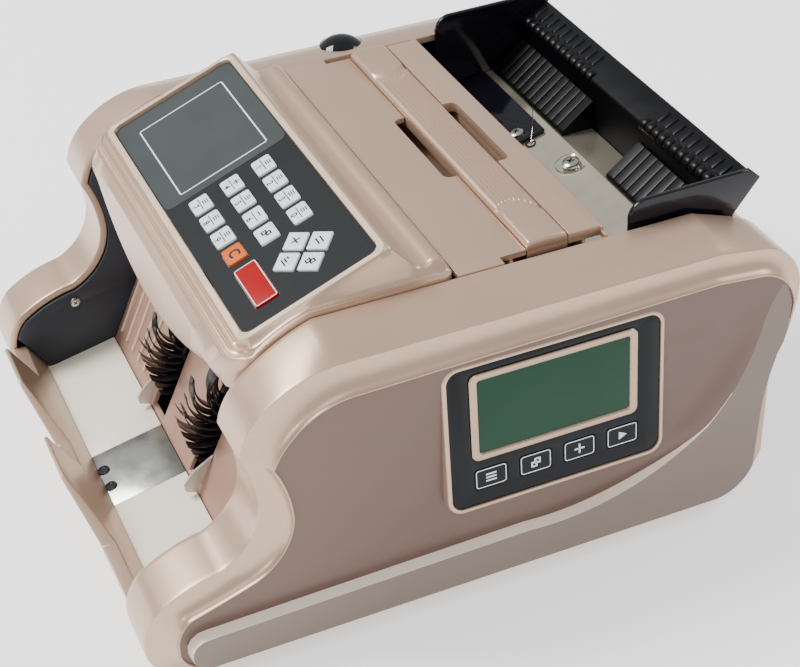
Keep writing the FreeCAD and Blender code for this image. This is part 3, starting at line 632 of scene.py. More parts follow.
# Level bars of the plain signs: left end, right end and height, as shares of the sign's size
SIGN_BARS = {
    "lines": [(-0.5, 0.5, -0.34), (-0.5, 0.5, 0.0), (-0.5, 0.5, 0.34)],
    "plus": [(-0.5, 0.5, 0.0)],
    "minus": [(-0.5, 0.5, 0.0)],
    "equals": [(-0.5, 0.5, -0.22), (-0.5, 0.5, 0.22)],
    "stairs": [(-0.5, -0.1, 0.32), (-0.5, 0.2, 0.0), (-0.5, 0.5, -0.32)],
}


def mark(place, sign, u, v, w, size):
    """A plain sign for a key: u, v is its middle. A sign not in the table is two boxes or a triangle."""
    thick = size * 0.16
    if sign in SIGN_BARS:
        bars = [bar(place, u + left * size, u + right * size, v + level * size - thick / 2,
                    v + level * size + thick / 2, w) for left, right, level in SIGN_BARS[sign]]
        if sign == "plus":
            bars.append(bar(place, u - thick / 2, u + thick / 2, v - size / 2, v + size / 2, w))
        return join_parts(bars)
    if sign == "boxes":
        return join_parts([printed_loop(place, w, size * 0.3, size * 0.3, 0.2, thick,
                                        (u + k * size * 0.16, v + k * size * 0.16)) for k in (-1, 1)])
    points = [place(u - size * 0.34, v - size * 0.42, w), place(u + size * 0.46, v, w),
              place(u - size * 0.34, v + size * 0.42, w)]
    return points, [[0, 1, 2]]


def digits(name, text, place, u, v, w, size, look, body):
    """A figure on a key, from the built-in font, as a mesh."""
    curve = bpy.data.curves.new(name, "FONT")
    curve.body = text
    curve.size = size
    curve.offset = size * 0.022
    curve.align_x = "CENTER"
    curve.align_y = "CENTER"
    holder = bpy.data.objects.new(name + "_source", curve)
    bpy.context.scene.collection.objects.link(holder)
    bpy.context.view_layer.update()
    mesh = bpy.data.meshes.new_from_object(holder)
    bpy.data.objects.remove(holder)
    for vertex in mesh.vertices:
        vertex.co = Vector(place(u + vertex.co.x, v + vertex.co.y, w)) * MM
    return add(name, mesh, look, body)


def side_display():
    housing = stack(on_display, [
        (-6.0, 49.0, 35.0, 7.0), (1.5, 49.0, 35.0, 7.0), (2.2, 48.85, 34.85, 6.9), (2.6, 48.5, 34.5, 6.6),
        (2.76, 48.1, 34.1, 6.3), (2.76, 47.5, 33.5, 5.7), (2.6, 47.15, 33.15, 5.4), (2.1, 47.0, 33.0, 5.2),
        (-1.6, 47.0, 33.0, 5.2)])
    shape("display_housing", housing, "rose", "body")
    softened("display_panel", 0.2, "black_gloss", "body", segments=2)
    plate = stack(on_display, [
        (1.9, 37.1, 20.35, 3.2), (2.5, 37.1, 20.35, 3.2), (2.85, 36.8, 20.05, 2.9), (2.98, 36.3, 19.55, 2.5),
        (2.92, 34.6, 18.0, 1.8), (2.6, 33.9, 17.35, 1.4), (2.0, 33.55, 17.05, 1.2)], LCD_MIDDLE)
    shape("display_frame_ring", plate, "frame_rose", "body", ["display_frame"])
    glass = stack(on_display, [(1.0, 33.5, 17.0, 1.1), (2.2, 33.5, 17.0, 1.1), (2.25, 33.3, 16.8, 1.0)],
                  LCD_MIDDLE, True, True)
    shape("display_lcd_glass", glass, "lcd", "body", ["display_lcd"])
    top = PANEL_FACE + 0.15
    signs = {"side_key_function": "lines", "side_key_batch": "boxes", "side_key_add": "plus",
             "side_key_start": "start"}
    for node, u in SIDE_KEYS.items():
        key = stack(on_display, [(1.05, 7.1, 4.8, 1.3), (top - 0.08, 7.1, 4.8, 1.3), (top, 6.98, 4.68, 1.2)],
                    (u, SIDE_KEY_ROW), True, True)
        shape(node + "_pad", key, "black_gloss", node, [node])
        print_parts = [printed_loop(on_display, top + 0.03, 6.7, 4.4, 1.3, 0.38, (u, SIDE_KEY_ROW)),
                       mark(on_display, signs[node], u, SIDE_KEY_ROW, top + 0.03, 4.6)]
        shape(node + "_print", join_parts(print_parts), "print_white", node)


# Console

TILT = math.radians(21.6)
CONSOLE_MIDDLE = (-51.1, 139.6)
BEZEL_TOP = 1.84
SECTION_REAR = [(-20.4, 153.72), (-19.6, 153.5), (-18.4, 152.2), (-9.9, 142.2), (-8.2, 141.2),
                (-5.4, 141.0), (-3.6, 141.7), (-2.2, 142.4), (-0.6, 142.6), (1.2, 142.1),
                (3.0, 140.4), (4.3, 138.0), (4.8, 136.4)]


def on_console(u, v, w):
    """From the keypad's own frame: u across, v up the slope, w out."""
    return (u, CONSOLE_MIDDLE[0] + v * math.cos(TILT) - w * math.sin(TILT),
            CONSOLE_MIDDLE[1] + v * math.sin(TILT) + w * math.cos(TILT))


# Each tier: half width, front edge, rear edge, corner, level, and its height over the covers along its ends
TIERS = [
    (90.9, -33.4, 33.5, 4.6, BEZEL_TOP, None),
    (93.9, -36.3, 60.0, 8.0, 0.85, 2.0),
    (95.6, -39.6, 60.0, 10.5, -0.5, 1.1),
    (96.5, -46.0, 60.0, 12.5, -1.9, 0.4),
]
TIER_FALL = 6.0
FRONT_FALL = 0.27
GROOVE = 0.75
END_WALL = (90.9, 93.2)


def outside(tier, u, v):
    """Signed distance outside a tier's rounded rectangle."""
    half_u, front, rear, corner = tier[:4]
    du = abs(u) - half_u + corner
    dv = abs(v - (front + rear) / 2) - (rear - front) / 2 + corner
    return math.hypot(max(du, 0), max(dv, 0)) + min(max(du, dv), 0) - corner


def front_edge(x):
    """The console's front edge, bowed forward at its middle and rounded at its ends."""
    over = min(12.9, max(0.0, abs(x) - 83.8))
    return -95.2 + 3.4 * (x / 96.7) ** 2 + 13.0 - math.sqrt(13.0 ** 2 - over ** 2)


def slope_height(y, w):
    """Height of the surface lying w over the keypad's plane."""
    return CONSOLE_MIDDLE[1] + (y - CONSOLE_MIDDLE[0]) * math.tan(TILT) + w / math.cos(TILT)


def tier_height(tier, x, y):
    """A tier's level, with a rounded edge and a steep fall outside it."""
    v = (y - CONSOLE_MIDDLE[0] + tier[4] * math.sin(TILT)) / math.cos(TILT)
    away = outside(tier, x, v)
    w = tier[4] - 0.25 * smooth(-0.8, 0.0, away) - TIER_FALL * max(0.0, away)
    if tier is TIERS[3]:
        w = tier[4] - FRONT_FALL * max(0.0, -38.0 - v) - TIER_FALL * max(0.0, away)
    z = slope_height(y, w)
    if tier[5] is not None:
        along = rim_height(y) + tier[5] - 1.5 * max(0.0, away)
        z = min(z, along + 9.0 * (1.0 - smooth(-92.0, -76.0, y)) + 40.0 * (1.0 - smooth(82.0, 90.0, abs(x))))
    return z


def rear_height(y):
    return float(np.interp(y, *np.array(SECTION_REAR).T))


def console_height(x, y):
    """The highest of the keypad's tiers, with the slope and the bar behind them and the wall at each end."""
    z = max(tier_height(tier, x, y) for tier in TIERS[1:])
    for tier in TIERS[:3]:
        v = (y - CONSOLE_MIDDLE[0] + tier[4] * math.sin(TILT)) / math.cos(TILT)
        z -= GROOVE * math.exp(-((outside(tier, x, v) - 0.55) / 0.4) ** 2)
    top = tier_height(TIERS[0], x, y)
    if y > -80.0:
        top = rear_height(y) if y > SECTION_REAR[0][0] else slope_height(y, BEZEL_TOP)
    share = smooth(END_WALL[0] - 0.6, END_WALL[1] + 0.8, abs(x))
    if y > -80.0:
        top = top + (min(top, rim_height(y) + 1.4) - top) * share
    z = max(z, top)
    corner = min(y - front_edge(x), 3.4)
    if corner < 3.4:
        z -= 3.4 - math.sqrt(max(0.0, 3.4 ** 2 - (3.4 - max(0.0, corner)) ** 2))
    if y > SECTION_REAR[0][0]:
        z = min(z, rear_height(y))
    return z


def console_outline():
    count = 44
    xs = [96.6 * math.sin(math.pi / 2 * (2 * k / count - 1)) for k in range(count + 1)]
    front = [(x, front_edge(x)) for x in xs]
    right = [(96.7, y) for y in np.linspace(-77.0, 0.0, 40)]
    turn = [(91.9 + 4.8 * math.cos(a), 4.8 * math.sin(a)) for a in np.linspace(0.0, math.pi / 2, 7)[1:]]
    rear = [(x, 4.8) for x in np.linspace(88.0, -88.0, 50)]
    left = [(-x, y) for x, y in (turn[::-1] + right[::-1])]
    return front + right + turn + rear + left


def tier_edge(tier, grow):
    """A tier's edge, seen from above."""
    half_u, front, rear, corner, level = tier[:5]
    middle = (front + rear) / 2
    loop = rounded_loop(half_u + grow, (rear - front) / 2 + grow, corner + grow, 9)
    dense = []
    for (a, b), (c, d) in zip(loop, loop[1:] + loop[:1]):
        steps = max(1, int(math.dist((a, b), (c, d)) / 3.0))
        dense += [(a + (c - a) * k / steps, b + (d - b) * k / steps) for k in range(steps)]
    return [on_console(u, v + middle, level)[:2] for u, v in dense]


def run_inside(loop, outline, last_y):
    """The part of a loop that is inside the outline and ahead of last_y, as one open line."""
    kept = [p for p in loop if p[1] < last_y and within(outline, *p)]
    cut = max(range(len(kept)), key=lambda k: math.dist(kept[k - 1], kept[k]))
    return kept[cut:] + kept[:cut]


def console_housing():
    outline = console_outline()
    hole = tier_edge((88.6, -30.8, 30.8, 4.3, BEZEL_TOP), 0.0)
    lines = []
    for index, tier in enumerate(TIERS[:3]):
        for grow in (-0.8, 0.0, 0.3, 0.8, 1.3):
            lines.append(run_inside(tier_edge(tier, grow), outline, -24.0 if index == 0 else 0.0))
    for x in (89.7, 90.9, 91.6, 92.3, 93.0):
        for side in (-1, 1):
            lines.append([(side * x, y) for y in np.linspace(-78.0, 2.0, 54)])
    lines.append([(x, -20.4) for x in np.linspace(-89.0, 89.0, 60)])
    ends = (89.7, 90.9, 91.6, 92.3, 93.0, 93.8, 94.6, 95.3, 96.0)
    across = [-x for x in ends[::-1]] + list(np.linspace(-88.5, 88.5, 60)) + list(ends)
    for y, _ in SECTION_REAR[1:12]:
        lines.append([(x, y) for x in across])
    top = relief(outline, lines, 3.0, lambda x, y: (x, y, console_height(x, y)), [hole])
    rim_points = [(x, y, console_height(x, y)) for x, y in outline]
    shoulder = [(x, y, z - 1.4) for x, y, z in rim_points]
    foot = [(x, max(y, -93.0 + 3.4 * (x / 96.7) ** 2) if y < -60 else y,
             110.5 if y < -78 else min(131.0, z - 4)) for x, y, z in rim_points]
    wall = loft([rim_points, shoulder, foot])
    pocket = stack(on_console, [(BEZEL_TOP, 88.6, 30.8, 4.3), (BEZEL_TOP - 0.3, 88.5, 30.7, 4.2),
                                (-1.2, 88.5, 30.7, 4.2)])
    parts = join_parts([top, wall, pocket])
    shape("console_shell", parts, "rose", "console", ["console_housing"], merge=0.02,
          sharp=38)
    ring = stack(on_console, [
        (BEZEL_TOP - 0.5, 90.95, 33.45, 4.7), (BEZEL_TOP - 0.1, 90.95, 33.45, 4.7),
        (BEZEL_TOP + 0.06, 90.7, 33.2, 4.5), (BEZEL_TOP + 0.06, 88.85, 31.05, 4.4),
        (BEZEL_TOP - 0.1, 88.6, 30.8, 4.3)])
    shape("console_bezel_ring", ring, "bezel", "console", sharp=30)


KEY_COLUMNS = (-2.0, 12.0, 26.0, 39.8)
KEY_ROWS = (14.6, -1.0, -16.4)
KEY_TOP = 0.9
FIGURES = {"key_1": (0, 0, "1"), "key_2": (1, 0, "2"), "key_3": (2, 0, "3"), "key_0": (3, 0, "0"),
           "key_4": (0, 1, "4"), "key_5": (1, 1, "5"), "key_6": (2, 1, "6"),
           "key_7": (0, 2, "7"), "key_8": (1, 2, "8"), "key_9": (2, 2, "9")}
DIAMONDS = {"key_add": (54.6, 6.7, "plus"), "key_total": (62.6, 14.5, "equals"),
            "key_sort": (62.6, -1.1, "stairs"), "key_current": (70.6, 6.7, "boxes")}
START_MIDDLE = (63.6, -15.8)


def console_face():
    softened("console_overlay", 0.12, "slate", "console", segments=1)
    film = stack(on_console, [(-0.9, 38.2, 30.3, 3.9), (0.07, 38.2, 30.3, 3.9), (0.1, 38.17, 30.27, 3.87)],
                 (-49.9, 0.0), True, True)
    shape("console_window_film", film, "window", "console", ["console_screen"])
    line = printed_loop(on_console, 0.2, 30.2, 21.9, 1.4, 0.62, (-46.5, 0.5))
    shape("console_window_line", line, "print_white", "console")


def console_keys():
    w = KEY_TOP + 0.03
    for node, (column, row, figure) in FIGURES.items():
        u = KEY_COLUMNS[column]
        v = KEY_ROWS[row]
        softened(node, 0.4, "key_white", node, segments=3)
        digits(node + "_figure", figure, on_console, u, v - 2.5, w, 4.2, "ink", node)
        sign = {"key_4": "plus", "key_6": "minus"}.get(node, "lines")
        size = 3.4 if sign != "lines" else 2.9
        parts = [bar(on_console, u - 4.0, u + 4.0, v - 0.3, v + 0.12, w),
                 mark(on_console, sign, u, v + 2.25, w, size)]
        shape(node + "_lines", join_parts(parts), "ink", node)
    u = KEY_COLUMNS[3]
    softened("key_batch", 0.4, "key_white", "key_batch", segments=3)
    boxes = mark(on_console, "boxes", u, KEY_ROWS[1], w, 4.4)
    shape("key_batch_sign", boxes, "ink", "key_batch")
    softened("key_clear", 0.4, "key_orange", "key_clear", segments=3)
    digits("key_clear_figure", "C", on_console, u, KEY_ROWS[2], w, 6.8, "ink", "key_clear")
    softened("key_start", 0.4, "key_red", "key_start", segments=3)
    border = printed_loop(on_console, w, 13.25, 4.95, 1.0, 0.42, START_MIDDLE)
    shape("key_start_border", border, "print_white", "key_start")
    for node, (u, v, sign) in DIAMONDS.items():
        softened(node, 0.35, "key_white", node, segments=3)
        shape(node + "_sign", mark(on_console, sign, u, v, w, 4.4), "ink", node)


# Top cover, carrying handle and knob

HANDLE_Y = (38.3, 56.3)
HANDLE_HALF = 92.0
RIB_HALF = 60.0
BAR_TOP = 138.4
END_TOP = 139.8
KNOB = (-110.0, 40.6, 134.3)
KNOB_RADIUS = 10.4
KNOB_RISE = 4.6


def handle_height(x, y):
    """The bar's top: fine ribs over its middle, a raised smooth pad at each end."""
    middle = (HANDLE_Y[0] + HANDLE_Y[1]) / 2
    across = (y - middle) / (HANDLE_Y[1] - middle)
    bow = RIB_HALF + 7.0 * (across * across) + 0.25 * (y - middle)
    pad = smooth(bow, bow + 5.0, abs(x))
    z = BAR_TOP - 0.5 * across * across + (END_TOP - BAR_TOP) * pad * (1 - 0.3 * across * across)
    rib = 0.5 + 0.5 * math.cos((y - middle) / 1.78 * 2 * math.pi)
    z += 0.42 * smooth(0.35, 0.75, rib) * (1 - smooth(bow - 2.5, bow, abs(x)))
    edge = min(y - HANDLE_Y[0], HANDLE_Y[1] - y)
    end = HANDLE_HALF - abs(x)
    for reach, radius in ((edge, 1.5), (end, 1.4)):
        if reach < radius:
            z -= radius - math.sqrt(max(0.0, radius ** 2 - (radius - reach) ** 2))
    return z


def carry_handle():
    xs = [0.0, 0.12, 0.4, 0.8, 1.4, 3.0, 6.0, 10.0, 14.0, 18.0]
    xs = [HANDLE_HALF - x for x in xs] + list(np.linspace(72.0, 52.0, 21))
    xs = [-x for x in xs] + list(np.linspace(-48.0, 48.0, 9)) + xs[::-1]
    ys = [0.0, 0.1, 0.35, 0.7, 1.1, 1.5]
    ys = [HANDLE_Y[0] + y for y in ys] + list(np.linspace(HANDLE_Y[0] + 1.7, HANDLE_Y[1] - 1.7, 83))
    ys += [HANDLE_Y[1] - y for y in (1.5, 1.1, 0.7, 0.35, 0.1, 0.0)]
    strips = [[(x, y, handle_height(x, y)) for y in ys] for x in xs]
    top = loft(strips, closed=False)
    edge = [(x, HANDLE_Y[0]) for x in xs] + [(HANDLE_HALF, y) for y in ys[1:-1]]
    edge += [(x, HANDLE_Y[1]) for x in xs[::-1]] + [(-HANDLE_HALF, y) for y in ys[-2:0:-1]]
    rings = [[(x, y, handle_height(x, y)) for x, y in edge], [(x, y, 132.0) for x, y in edge],
             [(x * 0.994, 47.3 + (y - 47.3) * 0.93, 130.9) for x, y in edge]]
    wall = loft(rings, last_cap=True)
    shape("carry_handle_bar", join_parts([top, wall]), "rose", "carry_handle",
          ["carry_handle"], merge=0.02, sharp=34)
    for side, word in ((-1, "left"), (1, "right")):
        leg = stack(lambda u, v, w: (side * 88.0 + u, 47.3 + v, w),
                    [(90.0, 3.0, 6.5, 0.6), (92.0, 3.0, 6.5, 0.6), (92.0, 1.5, 6.5, 0.6),
                     (131.2, 1.5, 6.5, 0.6)],
                    first_cap=True, last_cap=True)
        # The legs take the rose finish darkened with painted shade, as they stand down in the cover's slots.
        shape(word + "_handle_leg", leg, "rose_painted_shade", "carry_handle")


def turned(middle, profile, axis, count=48, first_cap=True, last_cap=True):
    """A turned shape: profile is (radius, distance) along a unit axis from middle."""
    axis = Vector(axis)
    along = axis.orthogonal().normalized()
    across = axis.cross(along)
    rings = []
    for radius, reach in profile:
        ring = []
        for k in range(count):
            angle = 2 * math.pi * k / count
            ring.append(tuple(Vector(middle) + axis * reach
                              + (along * math.cos(angle) + across * math.sin(angle)) * radius))
        rings.append(ring)
    return loft(rings, first_cap=first_cap, last_cap=last_cap)


def gap_knob():
    sphere = (KNOB_RADIUS ** 2 + KNOB_RISE ** 2) / (2 * KNOB_RISE)
    spread = math.asin((KNOB_RADIUS - 0.35) / sphere)
    profile = [(3.0, -18.3), (3.0, 0.0), (KNOB_RADIUS - 0.5, 0.0), (KNOB_RADIUS, 0.35)]
    base = KNOB_RISE - sphere
    for k in range(10):
        angle = spread * (1 - k / 10)
        profile.append((sphere * math.sin(angle), base + sphere * math.cos(angle)))
    profile.append((0.25, KNOB_RISE))
    knob = turned(KNOB, profile, (0, 0, 1), 56)
    shape("feed_gap_knob_dome", knob, "knob_black", "feed_gap_knob", ["feed_gap_knob"],
          sharp=35)


# Hopper

FLOOR_LINE = ((75.0, 102.4), (112.0, 112.4))
FLOOR_SLOPE = (FLOOR_LINE[1][1] - FLOOR_LINE[0][1]) / (FLOOR_LINE[1][0] - FLOOR_LINE[0][0])
FLOOR_LEAN = math.atan(FLOOR_SLOPE)
FLOOR_OUT = (0.0, -math.sin(FLOOR_LEAN), math.cos(FLOOR_LEAN))


def floor_z(y):
    return FLOOR_LINE[0][1] + FLOOR_SLOPE * (y - FLOOR_LINE[0][0])


def screw_head(name, x, y, z, axis, radius, rise, replaces=()):
    """A pan head with a cross recess."""
    axis = Vector(axis).normalized()
    along = axis.orthogonal().normalized()
    across = axis.cross(along)
    count = 48
    profile = [(radius, -0.2), (radius, rise * 0.35), (radius * 0.93, rise * 0.68),
               (radius * 0.78, rise * 0.88), (radius * 0.62, rise * 0.97), (radius * 0.55, rise)]
    points, faces = turned((x, y, z), profile, axis, count, False, False)
    base = (len(profile) - 1) * count
    arm = radius * 0.46
    slot = radius * 0.12
    floor = rise - radius * 0.42
    for k in range(count):
        angle = 2 * math.pi * k / count
        du = math.cos(angle)
        dv = math.sin(angle)
        big = max(abs(du), abs(dv))
        small = min(abs(du), abs(dv))
        reach = min(arm / big, slot / small if small > 1e-6 else 1e9)
        reach = max(reach, slot * 1.35)
        spot = Vector((x, y, z)) + axis * rise + (along * du + across * dv) * reach
        points.append(tuple(spot))
        spot = Vector((x, y, z)) + axis * floor + (along * du + across * dv) * reach * 0.55
        points.append(tuple(spot))
    for k in range(count):
        j = (k + 1) % count
        inner = base + count + 2 * k
        other = base + count + 2 * j
        faces.append([base + k, base + j, other, inner])
        faces.append([inner, other, other + 1, inner + 1])
    faces.append([base + count + 2 * k + 1 for k in range(count)])
    return shape(name, (points, faces), "screw_steel", "body", replaces, sharp=30)


def hopper():
    dimple = (3.0, 106.0, 7.4)

    def height(x, y):
        z = floor_z(y) if y < 112.0 else 112.4
        away = math.hypot(x - dimple[0], y - dimple[1])
        lip = 0.45 * math.exp(-((away - dimple[2]) / 0.7) ** 2)
        bowl = -1.3 * math.exp(-(away / 9.5) ** 2)
        ripple = 0.35 * math.sin(x * 0.045 + 0.6) * math.sin((y - 75.0) / 37.0 * math.pi)
        return (x, y, z + (lip + bowl + ripple) * (1 - smooth(109.0, 112.0, y)) - 0.4)

    outline = [(-92.3, 75.0), (92.3, 75.0), (92.3, 112.0), (92.3, 128.4), (-92.3, 128.4), (-92.3, 112.0)]
    lines = [[(-92.3, 112.0), (92.3, 112.0)]]
    for radius in (3.0, 5.2, 6.4, 7.0, 7.4, 7.8, 8.4, 10.5, 13.0):
        lines.append([(dimple[0] + radius * math.cos(a), min(111.9, dimple[1] + radius * math.sin(a)))
                      for a in np.linspace(0, 2 * math.pi, 40)])
    sheet = relief(outline, lines, 6.0, height)
    edge = [height(x, y) for x, y in outline]
    under = [(x, y, z - 1.5) for x, y, z in edge]
    wall = loft([edge, under], last_cap=True)
    shape("hopper_floor_plate", join_parts([sheet, wall]), "hopper_plate", "body",
          ["hopper_floor"], merge=0.02, sharp=25)
    screw_head("floor_screw", 3.0, 106.0, floor_z(106.0) - 0.4, FLOOR_OUT, 4.1, 1.9, ["visible_screws"])
    screw_head("bracket_screw", -34.0, 97.0, floor_z(97.0) + 1.2, FLOOR_OUT, 3.6, 1.5)


def feed_spring():
    """The thin wire spring beside the bracket, held in a small hole in the floor."""
    path = [(-44.0, 110.4), (-37.5, 107.2), (-30.5, 103.4), (-24.3, 99.4)]
    lifts = (2.1, 2.9, 2.7, -0.2)
    rings = []
    for (x, y), lift in zip(path, lifts):
        rings.append([(x + 0.4 * math.cos(a), y, floor_z(y) + lift + 0.4 * math.sin(a))
                      for a in np.linspace(0, 2 * math.pi, 13)[:-1]])
    shape("feed_wire_spring", loft(rings, first_cap=True, last_cap=True), "screw_steel",
          "body")
    socket = turned((-24.0, 99.2, floor_z(99.2) - 0.25),
                    [(2.6, -0.4), (2.6, 0.2), (2.3, 0.4), (1.9, 0.2), (1.7, -0.3)],
                    FLOOR_OUT, 28)
    shape("feed_spring_socket", socket, "glass_dark", "body")


def guide_outline():
    start = (83.0, 104.4)
    runs = [[(83.0, 137.0)], [(84.8, 143.6), (91.6, 146.4)], [(139.0, 147.0)], [(144.2, 142.2)],
            [(132.2, 126.8)], [(132.2, 112.0)], [(112.0, 108.0)], [(100.0, 105.0)], [start]]
    return traced(start, runs, [4, 10, 8, 2, 3, 3, 3, 2, 3])[:-1]


def feed_guides():
    outline = guide_outline()
    for side, word in ((1, "right"), (-1, "left")):
        rings = []
        for x, inset in ((92.6, 0.55), (92.7, 0.2), (92.95, 0.0), (94.45, 0.0), (94.7, 0.2), (94.8, 0.55)):
            rings.append([(side * x, y, z) for y, z in drawn_in(outline, inset)])
        sheet = loft(rings, first_cap=True, last_cap=True)
        shape(word + "_feed_guide_sheet", sheet, "black_acrylic", "body",
              [word + "_feed_guide"], sharp=40)


def rib(profile, middle, steps, way):
    """A short rib round middle: steps are (offset across, sink), and it sinks along way at its ends."""
    rings = [[(middle + offset, y + sink * way[0], z + sink * way[1]) for y, z in profile]
             for offset, sink in steps]
    return loft(rings, closed=False)


def rear_guard():
    """The black guard behind the notes, with a row of knuckles and short ridges at both ends."""
    section = [(128.8, 110.0), (128.8, 134.6), (129.2, 135.9), (130.2, 136.7), (141.2, 142.3), (142.2, 142.5),
               (142.9, 142.1), (143.5, 140.6), (143.4, 139.9), (142.8, 139.4), (131.9, 133.3), (131.6, 132.6),
               (131.6, 110.0)]
    steps = ((-92.3, 0.4), (-91.9, 0.0), (-60.0, 0.0), (-24.0, 0.0), (24.0, 0.0), (60.0, 0.0),
             (91.9, 0.0), (92.3, 0.4))
    rings = [[(x, y, z) for y, z in drawn_in(section, inset)] for x, inset in steps]
    parts = [loft(rings, first_cap=True, last_cap=True)]
    knuckle = [(129.3, 132.2), (128.3, 133.2), (127.9, 134.8), (128.2, 136.4), (129.2, 137.7),
               (130.8, 138.3), (132.6, 138.0)]
    knuckle_steps = ((-2.45, 1.1), (-2.3, 0.5), (-1.6, 0.08), (0.0, 0.0), (1.6, 0.08), (2.3, 0.5),
                     (2.45, 1.1))
    ridge = [(132.8, 137.9), (133.1, 138.7), (133.9, 139.5), (138.4, 141.8), (139.3, 142.1), (139.9, 141.5)]
    ridge_steps = ((-1.5, 0.9), (-1.1, 0.15), (0.0, 0.0), (1.1, 0.15), (1.5, 0.9))
    for side in (-1, 1):
        parts += [rib(knuckle, side * (25.0 + 5.2 * k), knuckle_steps, (0.7, -0.7)) for k in range(13)]
        parts += [rib(ridge, side * (30.0 + 6.3 * k), ridge_steps, (0.0, -1.0)) for k in range(10)]
    shape("rear_guard_shell", join_parts(parts), "black_satin", "body",
          ["rear_note_guard"], sharp=40)


def ramps():
    for word, x0, x1 in (("left", -91.8, -18.0), ("right", 24.0, 91.8)):
        count = int((x1 - x0) / 5.5)
        width = (x1 - x0) / count
        across = [(x0, 0.0)]
        for k in range(count):
            start = x0 + width * k
            lines = ((-0.35, 0.1), (-0.2, 0.9), (0.2, 0.9), (0.35, 0.1), (0.8, 0.0), (width - 0.8, 0.0))
            across += [(start + offset, drop) for offset, drop in (lines if k else lines[4:])]
        across.append((x1, 0.0))
        rows = []
        for y, z in ((112.2, 112.6), (112.2, 113.5), (112.5, 114.3), (113.3, 115.1),
                     (127.3, 126.2), (128.0, 126.6), (128.4, 126.1), (128.4, 112.6)):
            lift = 1.0 if 112.4 < y < 128.35 else 0.0
            rows.append([(x, y, z - drop * lift) for x, drop in across])
        points, faces = loft(rows, closed=False)
        ends = [[len(across) * r + c for r in range(len(rows))] for c in (0, len(across) - 1)]
        shape(word + "_feed_ramp", (points, faces + [ends[0], ends[1][::-1]]), "black_satin",
              "body", ["feed_ramps"] if word == "left" else (), sharp=25)


# Stacker

WHEEL_Y = -67.0
WHEEL_Z = 45.0
WHEEL_X = 26.5
WHEEL_WIDTH = 11.5
WHEEL_RADIUS = 28.9
HUB_RADIUS = 11.0
STACKER_FLOOR = ((-127.0, 6.3), (-93.0, 13.8))
BACK_FOOT = (-92.6, 13.0)
BACK_TOP = (-47.0, 108.6)


def vane_strip(angle, x0, x1, sweep, reach):
    """One thin curved vane from the hub to the wheel's rim."""
    rings = []
    for k in range(13):
        share = k / 12
        radius = HUB_RADIUS - 0.8 + (reach - HUB_RADIUS + 0.8) * share
        turn = math.radians(angle - sweep * share ** 1.5)
        half = 0.62 * (1 - 0.45 * share)
        spots = []
        for side, x in ((1, x0), (1, x1), (-1, x1), (-1, x0)):
            at = turn + side * half / radius
            spots.append((x, WHEEL_Y + radius * math.cos(at), WHEEL_Z + radius * math.sin(at)))
        rings.append(spots)
    return loft(rings, first_cap=True, last_cap=True)


def stacker_wheels():
    for side, word in ((-1, "left"), (1, "right")):
        middle = side * WHEEL_X
        hub = [(4.1, 0.0), (HUB_RADIUS - 0.6, 0.0), (HUB_RADIUS, 0.5), (HUB_RADIUS, WHEEL_WIDTH - 0.5),
               (HUB_RADIUS - 0.6, WHEEL_WIDTH), (4.1, WHEEL_WIDTH)]
        parts = [turned((middle - WHEEL_WIDTH / 2, WHEEL_Y, WHEEL_Z), hub, (1, 0, 0), 48, False, False)]
        thirds = ((0.0, middle - 5.6, middle - 2.2), (5.0, middle - 1.7, middle + 1.7),
                  (11.0, middle + 2.2, middle + 5.6))
        for offset, x0, x1 in thirds:
            for index in range(22):
                sweep = 40.0 + 9.0 * math.sin(2.4 * index + offset)
                reach = WHEEL_RADIUS - 1.4 * (0.5 + 0.5 * math.sin(5.1 * index + offset))
                parts.append(vane_strip(360.0 / 22 * index + offset, x0, x1, sweep, reach))
        node = word + "_stacker_wheel"
        shape(node + "_vanes", join_parts(parts), "vane_rubber", "stacker_wheels", [node],
              sharp=38)


def stacker():
    for node, look, slot in (("stacker_floor", "cream", "cream_plate"),
                             ("stacker_sensor_plate", "steel", "bare_steel"),
                             ("stacker_shaft", "shaft_steel", "bare_steel")):
        body = "stacker_wheels" if node == "stacker_shaft" else "body"
        softened(node, 0.3, look, body)
    softened("stacker_front_guard", 1.0, "rose", "body", segments=4)
    back = softened("stacker_back_plate", 0.3, "pink", "body")
    back.data.materials.append(LOOKS["rib_light"])
    back.data.materials.append(LOOKS["clear_tab"])
    tab_x = WHEEL_X + WHEEL_WIDTH / 2 + 2.4
    for polygon in back.data.polygons:
        x, y, z = polygon.center / MM
        share = (z - BACK_FOOT[1]) / (BACK_TOP[1] - BACK_FOOT[1])
        ahead = BACK_FOOT[0] + (BACK_TOP[0] - BACK_FOOT[0]) * share - y
        if abs(abs(x) - tab_x) < 0.8 and z < 33 and ahead > 0.2:
            polygon.material_index = 2
        elif x < -52 and ahead > 0.45 and 19 < z < 105:
            polygon.material_index = 1
    softened("frame_plates", 0.25, "charcoal", "body")
    slope = (STACKER_FLOOR[1][1] - STACKER_FLOOR[0][1]) / (STACKER_FLOOR[1][0] - STACKER_FLOOR[0][0])
    lean = math.atan(slope)
    for side, word in ((-1, "left"), (1, "right")):
        spot = (side * 6.0 - 0.5, -124.6, STACKER_FLOOR[0][1] + slope * 2.4)
        eye = turned(spot, [(2.9, 0.0), (2.9, 0.35), (2.5, 0.6), (1.9, 0.55), (1.7, 0.2), (0.4, 0.1)],
                     (0, -math.sin(lean), math.cos(lean)), 40)
        shape(word + "_note_sensor", eye, "glass_dark", "body")
        screw_head(word + "_liner_screw", side * 95.0, -109.0, 39.5, (-side, 0, 0), 2.6, 1.2)


# The remaining pieces take the CAD shape with softened edges

